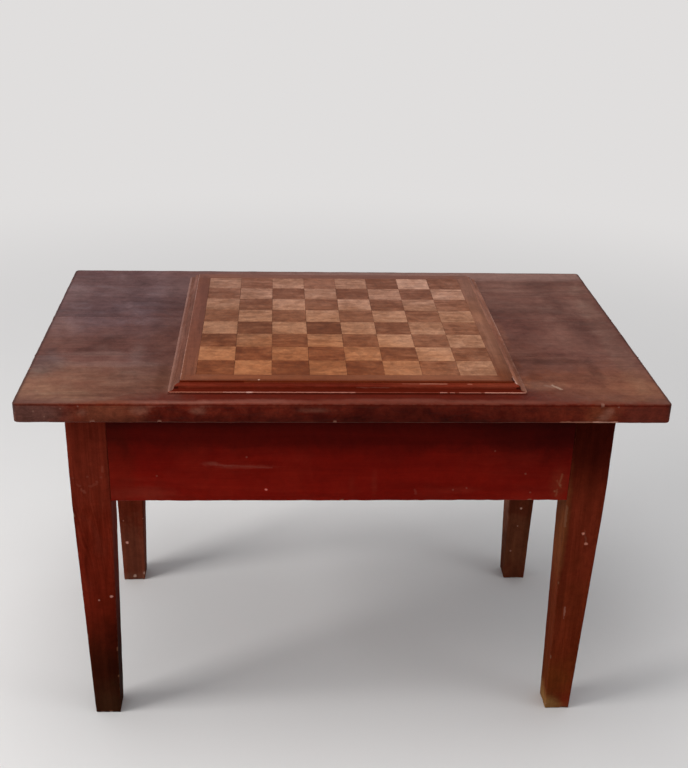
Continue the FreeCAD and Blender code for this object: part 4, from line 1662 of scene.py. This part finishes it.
BORDER_WOOD = Timber(
    name="border_wood",
    dark=(0.15, 0.046, 0.022),
    middle=(0.195, 0.062, 0.03),
    light=(0.245, 0.088, 0.046),
    contrast=0.6,
    grain_lines=0.12,
    haze=(0.25, 0.12, 0.085),
    haze_strength=0.3,
    worn=(0.3, 0.13, 0.08),
    worn_strength=0.3,
    roughness=0.36,
    specular=0.05,
    patches=(
        Patch((-60, -210, BOARD), (150, 14, 9), (0.21, 0.052, 0.016), 0.7),
        Patch((140, -210, BOARD), (120, 14, 9), (0.25, 0.08, 0.036), 0.7),
        Patch((-205, 20, BOARD), (16, 240, 9), (0.15, 0.05, 0.036), 0.7, 0.3),
        tint((-205, -120, BOARD), (16, 110, 9), (0.95, 0.86, 0.72), 0.8, 0.4),
        Patch((216, 20, BOARD), (16, 240, 9), (0.225, 0.094, 0.056), 0.75, 0.3),
        tint((214, 170, BOARD), (14, 70, 9), (0.9, 0.98, 1.14), 0.8, 0.6),
        tint((214, -190, BOARD), (14, 60, 9), (0.84, 0.74, 0.64), 0.9),
        tint((213, -50, BOARD), (3.5, 160, 9), (1.16, 1.2, 1.22), 0.8, 0.9, 0.7),
        tint((221, -70, BOARD), (4.0, 110, 9), (0.9, 0.86, 0.82), 0.8, 0.9, 0.7),
        tint((211, 20, BOARD), (10, 26, 9), (1.26, 1.28, 1.24), 0.9, 0.6, 0.6),
        tint((208.5, -60, BOARD), (4, 20, 9), (0.74, 0.68, 0.6), 0.8, 0.8, 0.6),
        tint((214, -206, BOARD), (11, 25, 9), (0.74, 0.6, 0.47), 0.95, 0.4),
        tint((212, 60, BOARD), (7, 22, 9), (0.8, 0.78, 0.72), 0.7, 0.9, 0.7),
        tint((216, 105, BOARD), (5, 16, 9), (0.78, 0.76, 0.74), 0.7, 0.9, 0.7),
        Patch((5, 208, BOARD), (240, 14, 9), (0.185, 0.08, 0.062), 0.75, 0.3),
        # Painted shade of the drop below the border's front edge, laid on its outer arris.
        tint((5, -221.5, 556.5), (240, 3.4, 9), (0.6, 0.34, 0.22), 0.95, 0.2, 0.9),
        tint((180, -221.5, 556.5), (60, 3.0, 9), (0.72, 0.52, 0.42), 0.9, 0.3, 0.9),
    ),
    marks=(
        # Painted shading where the border's front edge drops to the moulding.
        *wear_and_shading_line(Axis.X, (-222.0, 554.6),
            (-216, -130, 2.4, (0.23, 0.025, 0.0065), 0.9, 0.5),
            (-130, 226, 2.4, (0.32, 0.056, 0.018), 0.9, 0.5),
        ),
        *wear_and_shading_line(Axis.Y, (-214.6, 556.5),
            (-218, -60, 1.5, (0.37, 0.18, 0.13), 0.9, 0.9),
            (-60, 90, 1.5, (0.3, 0.15, 0.112), 0.6, 1.0),
            (90, 214, 1.7, (0.36, 0.2, 0.165), 0.8, 1.0),
        ),
        Mark((222.2, -212, 556.5), (222.8, -222, 556.5), 1.7, (0.035, 0.006, 0.003), 0.9, 0.5),
        Mark((224.4, -206, 556.3), (224.6, -219, 556.3), 1.1, (0.55, 0.31, 0.25), 0.9, 0.7),
        *specks([(-112, -218.5, 556.5)], 2.0, (0.62, 0.36, 0.26), 0.9),
        *specks([(-214.6, -200, 556.5)], 2.4, (0.45, 0.26, 0.2), 0.8),
    ),
)

MOULDING_STAIN = Timber(
    name="moulding_stain",
    dark=(0.122, 0.041, 0.026),
    middle=(0.162, 0.06, 0.04),
    light=(0.208, 0.087, 0.061),
    grain_lines=0.12,
    mottle=0.12,
    haze=(0.24, 0.125, 0.097),
    haze_strength=0.3,
    worn=(0.34, 0.19, 0.15),
    worn_strength=0.85,
    roughness=0.40,
    specular=0.05,
)

FRONT_MOULDING = replace(
    MOULDING_STAIN,
    dark=(0.128, 0.012, 0.0046),
    middle=(0.165, 0.0205, 0.0085),
    light=(0.2, 0.034, 0.0155),
    haze=(0.2, 0.043, 0.025),
    worn=(0.34, 0.11, 0.075),
    roughness=0.48,
    specular=0.02,
    patches=(
        # Painted shade just below the border's edge, then a painted lighter band where the ovolo
        # meets the cove.
        tint((5, -223.2, 554), (260, 3.0, 1.3), (0.72, 0.64, 0.56), 1.0, 0.1, 0.6),
        tint((5, -228.4, 550.6), (260, 2.4, 1.6), (1.35, 1.35, 1.4), 1.0, 0.1, 0.6),
    ),
    marks=(
        # Painted shading where the border's front edge drops to the moulding.
        *wear_and_shading_line(Axis.X, (-222.2, 553.9),
            (-216, -130, 1.6, (0.16, 0.018, 0.0055), 0.8, 0.5),
            (-130, 226, 1.6, (0.22, 0.033, 0.012), 0.8, 0.5),
        ),
        # Painted shade in the cove, the cove's painted shadow on the fillet, and painted shade on
        # the fillet's front.
        Mark((-223, -230.5, 547.9), (233, -230.5, 547.9), 3.2, (0.092, 0.007, 0.0017), 0.9, 0.6),
        Mark((-225, -233.4, 546.5), (235, -233.4, 546.5), 3.4, (0.082, 0.006, 0.0013), 0.9, 0.7),
        Mark((-228, -236.9, 545.2), (238, -236.9, 545.2), 1.5, (0.13, 0.023, 0.011), 0.85, 0.4),
        # Painted shade in the cove by both corners.
        *wear_and_shading_line(Axis.X, (-229.6, 549.6),
            (-222, -217, 2.6, (0.02, 0.002, 0.0008), 0.8, 0.6),
            (227, 232, 2.6, (0.02, 0.002, 0.0008), 0.8, 0.6),
        ),
        # Bright fillet nosing: worn arris, partly painted highlight.
        *wear_and_shading_line(Axis.X, (-236.4, 546.5),
            (-229, -157, 1.2, (0.4, 0.135, 0.085), 0.85, 0.6),
            (-157, -127, 1.2, (0.56, 0.25, 0.19), 0.85, 0.8),
            (-127, -120, 1.8, (0.7, 0.38, 0.31), 0.95, 0.6),
            (-120, 14, 1.2, (0.5, 0.2, 0.145), 0.85, 0.7),
            (14, 122, 0.9, (0.2, 0.036, 0.02), 0.6, 0.9),
            (125, 133, 1.3, (0.5, 0.205, 0.15), 0.85, 0.7),
            (138, 143, 1.2, (0.46, 0.175, 0.125), 0.8, 0.7),
            (150, 178, 1.2, (0.42, 0.145, 0.1), 0.8, 0.8),
            (184, 239, 1.4, (0.6, 0.26, 0.19), 0.9, 0.6),
        ),
        *wear_and_shading_line(Axis.X, (-224.6, 553.6),
            (76, 99, 1.1, (0.28, 0.09, 0.056), 0.6, 0.9),
            (99, 134, 1.3, (0.4, 0.16, 0.105), 0.75, 0.9),
        ),
        Mark((162, -224.8, 553.6), (167, -224.8, 553.6), 1.4, (0.38, 0.14, 0.09), 0.7, 0.9),
        Mark((16, -229.0, 550.0), (58, -229.0, 550.0), 1.1, (0.27, 0.085, 0.058), 0.5, 0.9),
    ),
)
# The front length is still dark red. Its bright lines are worn and partly painted highlight, and
# its cove and foot carry painted shade.
"""The front length is still dark red, and its worn lines are bright."""

LEFT_MOULDING = replace(
    MOULDING_STAIN,
    marks=wear_and_shading_line(Axis.Y, (-228.2, 546.5),
        (-237, -120, 1.5, (0.27, 0.125, 0.088), 0.7, 0.9),
        (-120, 90, 1.6, (0.27, 0.138, 0.11), 0.6, 1.0),
        (90, 230, 1.8, (0.3, 0.165, 0.138), 0.6, 1.0),
    ),
    patches=(
        tint((-221, -180, 551), (6, 66, 7), (0.8, 0.72, 0.62), 0.85),
        tint((-217, 170, 554), (3.2, 60, 5), (1.4, 1.55, 1.7), 0.85, 0.6, 0.6),
        tint((-232, -180, 546), (3, 60, 5), (0.7, 0.66, 0.6), 0.8),
    ),
)
RIGHT_MOULDING = replace(
    MOULDING_STAIN,
    dark=(0.19, 0.062, 0.034),
    middle=(0.255, 0.09, 0.052),
    light=(0.325, 0.13, 0.08),
    haze=(0.34, 0.165, 0.12),
    worn=(0.46, 0.24, 0.18),
    patches=(
        tint((232, 180, 550), (10, 50, 12), (1.3, 1.5, 1.66), 0.9, 0.6, 0.6),
        tint((232, 96, 550), (10, 34, 12), (0.92, 0.92, 0.94), 0.8, 0.6, 0.6),
        tint((233.5, -20, 550), (4.5, 72, 9), (1.36, 1.38, 1.38), 0.9, 0.7, 0.7),
        tint((226, -20, 553), (3.5, 90, 5), (1.1, 1.12, 1.1), 0.8, 0.7, 0.7),
        tint((238, -140, 547), (4, 60, 5), (0.66, 0.6, 0.54), 0.9, 0.6, 0.6),
        tint((230, -195, 551), (7, 22, 8), (1.22, 1.18, 1.08), 0.8, 0.6, 0.6),
        Patch((232.5, -232, 550.6), (5, 6, 4.0), (0.085, 0.022, 0.009), 0.92),
    ),
    marks=(
        Mark((239.2, -30, 546.5), (239.2, 60, 546.5), 1.5, (0.44, 0.235, 0.175), 0.6, 1.0),
        Mark((225.6, -210, 554.6), (226.6, -224, 553.2), 1.5, (0.62, 0.35, 0.28), 0.85, 0.7),
    ),
)
"""The right length is the most faded one."""

MOULDING_STAINS = {
    Side.FRONT: FRONT_MOULDING,
    Side.RIGHT: RIGHT_MOULDING,
    Side.BACK: MOULDING_STAIN,
    Side.LEFT: LEFT_MOULDING,
}


@dataclass
class Chessboard:
    """Raised board of 64 squares with a flat border and a moulding, both mitred."""

    files: int = 8
    """How many squares there are along each side."""
    edge_drop: float = 2.6 * MM
    """How far the border's edge stands above the moulding."""
    ovolo: tuple[float, float] = (6.9 * MM, 3.4 * MM)
    cove: tuple[float, float] = (3.5 * MM, 4.0 * MM)
    """Width and height of each curve."""
    fillet: float = 4.9 * MM
    nosing: float = 2.2 * MM
    """Width of the fillet's rubbed front."""
    ease: float = 0.3 * MM
    corner: float = 5.0 * MM
    square_joint: Span = (0.04 * MM, 0.16 * MM)
    """Narrowest and widest that an open joint of a square is."""
    tight_joint: float = 0.02 * MM
    sunk: float = 0.12
    """How far a square lies below its neighbours at most, in millimetres."""
    tilt: float = 0.05
    """Typical slope of a square's grain."""
    tight_mitre: float = 0.1 * MM
    open_mitre: float = 0.9 * MM
    """How far the moulding's mitres stand open, the front right one most."""
    arc_steps: int = 8
    centre: Vector = field(init=False)
    table: float = field(init=False)
    core_top: float = field(init=False)
    top: float = field(init=False)
    grid_half: float = field(init=False)
    border_half: float = field(init=False)

    def __post_init__(self) -> None:
        """Takes the board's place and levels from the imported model."""
        low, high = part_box("board_core")
        self.centre = (low + high) / 2
        self.table, self.core_top = low.z, high.z
        self.border_half = (high.x - low.x) / 2
        strip_low, strip_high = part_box("board_border_front")
        self.top = strip_high.z
        self.grid_half = self.border_half - (strip_high.y - strip_low.y)

    def build(self) -> None:
        """Builds and dresses the board."""
        dress("board_core", RAW_WOOD.material())
        light, dark = LIGHT_SQUARES.material(), DARK_SQUARES.material()
        for rank in range(self.files):
            self._squares("light", rank, light)
            self._squares("dark", rank, dark)
        for number, side in enumerate(Side):
            self._border(number, side)
            self._moulding(number, side)

    def _squares(self, colour: str, rank: int, material: bpy.types.Material) -> None:
        """Builds the squares of one colour in one rank.

        Args:
            colour: light or dark.
            rank: The rank, counted from the front, from 0.
            material: Their material.
        """
        size = 2 * self.grid_half / self.files
        first = (rank + (colour == "light")) % 2
        rng = np.random.default_rng(Seed.SQUARE_JOINTS + rank * 2 + first)
        whole: Surface | None = None
        for file in range(first, self.files, 2):
            x = self.centre.x - self.grid_half + file * size
            y = self.centre.y - self.grid_half + rank * size
            gaps = rng.uniform(*self.square_joint, 4) * rng.integers(0, 2, 4) + self.tight_joint
            level = self.top - rng.uniform(0, self.sunk) * MM
            low = Vector((x + gaps[0], y + gaps[1], self.core_top))
            high = Vector((x + size - gaps[2], y + size - gaps[3], level))
            board = WornBoard(low, high, self.ease, spacing=12 * MM, dips=0.03 * MM,
                              seed=Seed.SQUARES + rank * self.files + file,
                              near_ends=(0.0, 0.12, 0.3, 0.6, 1.2))
            square = board.surface()
            square.values["tone"] = np.full(len(square.points), rng.uniform(0, 1))
            square.values["tilt"] = np.full(len(square.points), rng.normal(0, self.tilt))
            whole = square if whole is None else whole.joined(square)
        node = f"{colour}_squares_rank_{rank + 1}"
        whole.piece(f"{node}_inlaid", node, f"{colour}_squares", material)

    def _border(self, number: int, side: Side) -> None:
        """Builds one strip of the flat border.

        Args:
            number: The strip's number.
            side: The side of the board that it is on.
        """
        inner, outer = self.grid_half + 0.05 * MM, self.border_half - 0.01 * MM
        corners = [
            Corner(inner, self.core_top),
            Corner(outer, self.core_top),
            Corner(outer, self.top, cut=0.35 * MM, wear=0.5),
            Corner((inner + outer) / 2, self.top),
            Corner(inner, self.top, cut=self.ease, wear=0.2),
        ]
        outline, marks = eased(corners)
        strip = MitredStrip(side, self.centre, outline, marks, wear_depth=0.15 * MM,
                            gaps=(self.tight_joint, self.tight_joint), seed=Seed.BORDER + number)
        finish = replace(BORDER_WOOD, name=f"border_wood_{side.label}", seed=1.3 * number + 7.0,
                         heart=(300.0, 350.0), grain=side.runs)
        node = f"board_border_{side.label}"
        strip.surface().piece(f"{node}_worn", node, "border", finish.material())

    def _moulding_outline(self) -> tuple[np.ndarray, np.ndarray]:
        """Draws the moulding's outline: ovolo, cove and base fillet.

        Returns:
            The outline's points, and how rubbed each is.
        """
        inner = self.border_half + self.tight_joint
        waist = inner + self.ovolo[0], self.top - self.edge_drop - self.ovolo[1]
        foot = waist[0] + self.cove[0], waist[1] - self.cove[1]
        outer = foot[0] + self.fillet - self.tight_joint
        turns = [math.pi / 2 * step / self.arc_steps for step in range(self.arc_steps + 1)]
        corners = [
            Corner(inner, self.table),
            Corner(outer, self.table),
            Corner(outer, foot[1], cut=0.8 * MM, wear=1.0),
            Corner(outer - self.nosing, foot[1], wear=0.3),
            Corner(*foot),
        ]
        for turn in turns[1:-1]:
            corners.append(Corner(foot[0] - self.cove[0] * math.sin(turn),
                                  foot[1] + self.cove[1] * (1 - math.cos(turn))))
        corners.append(Corner(*waist, cut=0.3 * MM, wear=0.15))
        for turn in turns[1:]:
            corners.append(Corner(inner + self.ovolo[0] * math.cos(turn),
                                  waist[1] + self.ovolo[1] * math.sin(turn)))
        return eased(corners)

    def _moulding(self, number: int, side: Side) -> None:
        """Builds one length of moulding.

        Args:
            number: The length's number.
            side: The side of the board that it is on.
        """
        outline, marks = self._moulding_outline()
        right_gap = self.open_mitre if side is Side.FRONT else self.tight_mitre
        strip = MitredStrip(side, self.centre, outline, marks, gaps=(self.tight_mitre, right_gap),
                            corner=self.corner, seed=Seed.MOULDING + number)
        finish = replace(MOULDING_STAINS[side], name=f"moulding_stain_{side.label}",
                         seed=1.1 * number + 11.0, heart=(280.0, 330.0), grain=side.runs)
        node = f"board_moulding_{side.label}"
        strip.surface().piece(f"{node}_worn", node, "moulding", finish.material())


# ---- studio ------------------------------------------------------------------------------------


@dataclass(frozen=True)
class Lamp:
    """A soft square lamp."""

    name: str
    place: Place
    target: Place
    """What it is turned towards."""
    size: float
    power: float
    """Its power in watts."""
    colour: Colour

    def build(self) -> None:
        """Hangs the lamp."""
        data = bpy.data.lights.new(self.name, "AREA")
        data.shape = "SQUARE"
        data.size, data.energy, data.color = self.size, self.power, self.colour
        lamp = bpy.data.objects.new(self.name, data)
        lamp.location = self.place
        way = Vector(self.target) - Vector(self.place)
        lamp.rotation_euler = way.to_track_quat("-Z", "Y").to_euler()
        bpy.context.scene.collection.objects.link(lamp)


@dataclass
class Studio:
    """Plain pale floor, soft lights and the camera."""

    floor_colour: Colour = (0.82, 0.805, 0.795)
    floor_shade: float = 0.985
    """How much darker the floor's clouds are."""
    floor_half: float = 40.0
    near: float = 0.8
    far: float = 3.0
    """Where the floor begins and ends turning into the backdrop, from the table's middle."""
    sky: Colour = (0.95, 0.97, 1.0)
    sky_low: float = 0.16
    sky_high: float = 0.58
    """How bright the sky is at the horizon and overhead."""
    far_white: Colour = (0.745, 0.73, 0.725)
    lamps: tuple[Lamp, ...] = (
        Lamp("top_softbox", (-0.3, -0.2, 2.9), (0.0, 0.0, 0.5), 1.5, 22.0, (1.0, 0.99, 0.975)),
        Lamp("left_softbox", (-2.6, -0.9, 1.9), (0.0, 0.0, 0.4), 1.2, 50.0, (1.0, 0.99, 0.975)),
        Lamp("right_softbox", (2.6, -1.2, 1.6), (0.0, 0.0, 0.4), 1.4, 10.0, (0.98, 0.99, 1.0)),
    )
    camera_place: Place = (-0.08882, -1.63241, 1.16156)
    heading: float = 2.8675
    pitch: float = -26.9894
    roll: float = 1.2945
    sensor: float = 36.0
    lens: float = 55.054
    shift: tuple[float, float] = (0.01968, 0.09732)
    sight: float = 200.0
    """How far the camera sees, in metres."""

    def build(self) -> None:
        """Builds the stage, lights and camera."""
        self._floor()
        self._sky()
        for lamp in self.lamps:
            lamp.build()
        self._camera()

    def _floor(self) -> None:
        """Builds the floor."""
        half = self.floor_half
        corners = [(-half, -half, 0), (half, -half, 0), (half, half, 0), (-half, half, 0)]
        mesh = bpy.data.meshes.new("studio_floor")
        mesh.from_pydata(corners, [], [(0, 1, 2, 3)])
        floor = bpy.data.objects.new("studio_floor", mesh)
        bpy.context.scene.collection.objects.link(floor)
        s = Shading(bpy.data.materials.new("studio_floor"))
        cloud = s.noise(s.place(), Clouds(1.6, 3.0))
        shade = scaled(self.floor_colour, self.floor_shade)
        colour = s.ramp(cloud, [(0.35, shade), (0.65, self.floor_colour)])
        s.coat(colour, roughness=0.9, specular=0.15)
        s.even_far_away(self.far_white, self.near, self.far)
        mesh.materials.append(s.owner)

    def _sky(self) -> None:
        """Builds the world: pale to the camera, soft and even as light."""
        world = bpy.data.worlds.new("studio_sky")
        bpy.context.scene.world = world
        s = Shading(world)
        height = s.parts(s.place("Generated"))[2]
        bright = s.node("MapRange", {0: height, 3: self.sky_low, 4: self.sky_high}).outputs[0]
        s.feed(s.surface.inputs["Color"], self.sky)
        s.feed(s.surface.inputs["Strength"], bright)
        seen = s.node("Background", {"Color": self.far_white}).outputs[0]
        s.overlay(s.node("LightPath").outputs["Is Camera Ray"], seen)

    def _camera(self) -> None:
        """Builds the camera."""
        data = bpy.data.cameras.new("camera")
        data.sensor_width = self.sensor
        data.lens = self.lens
        data.shift_x, data.shift_y = self.shift
        data.clip_end = self.sight
        camera = bpy.data.objects.new("camera", data)
        turn = (
            Matrix.Rotation(math.radians(-self.heading), 4, "Z")
            @ Matrix.Rotation(math.radians(90 + self.pitch), 4, "X")
            @ Matrix.Rotation(math.radians(self.roll), 4, "Z")
        )
        camera.matrix_world = Matrix.Translation(self.camera_place) @ turn
        bpy.context.scene.collection.objects.link(camera)
        bpy.context.scene.camera = camera


def main() -> None:
    """Builds the pieces in order and keeps the sizes."""
    logging.basicConfig(level=logging.INFO, format="%(name)s: %(message)s")
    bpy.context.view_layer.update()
    bpy.context.scene.view_settings.view_transform = "Standard"
    Studio().build()
    TableTop().build()
    UnderFrame().build()
    Chessboard().build()
    steel = Steel().material()
    for name in ("corner_block_screws", "cleat_screws", "board_screws", "moulding_brads"):
        dress(name, steel)
    LOG.info("all pieces built")


if __name__ == "__main__":
    main()
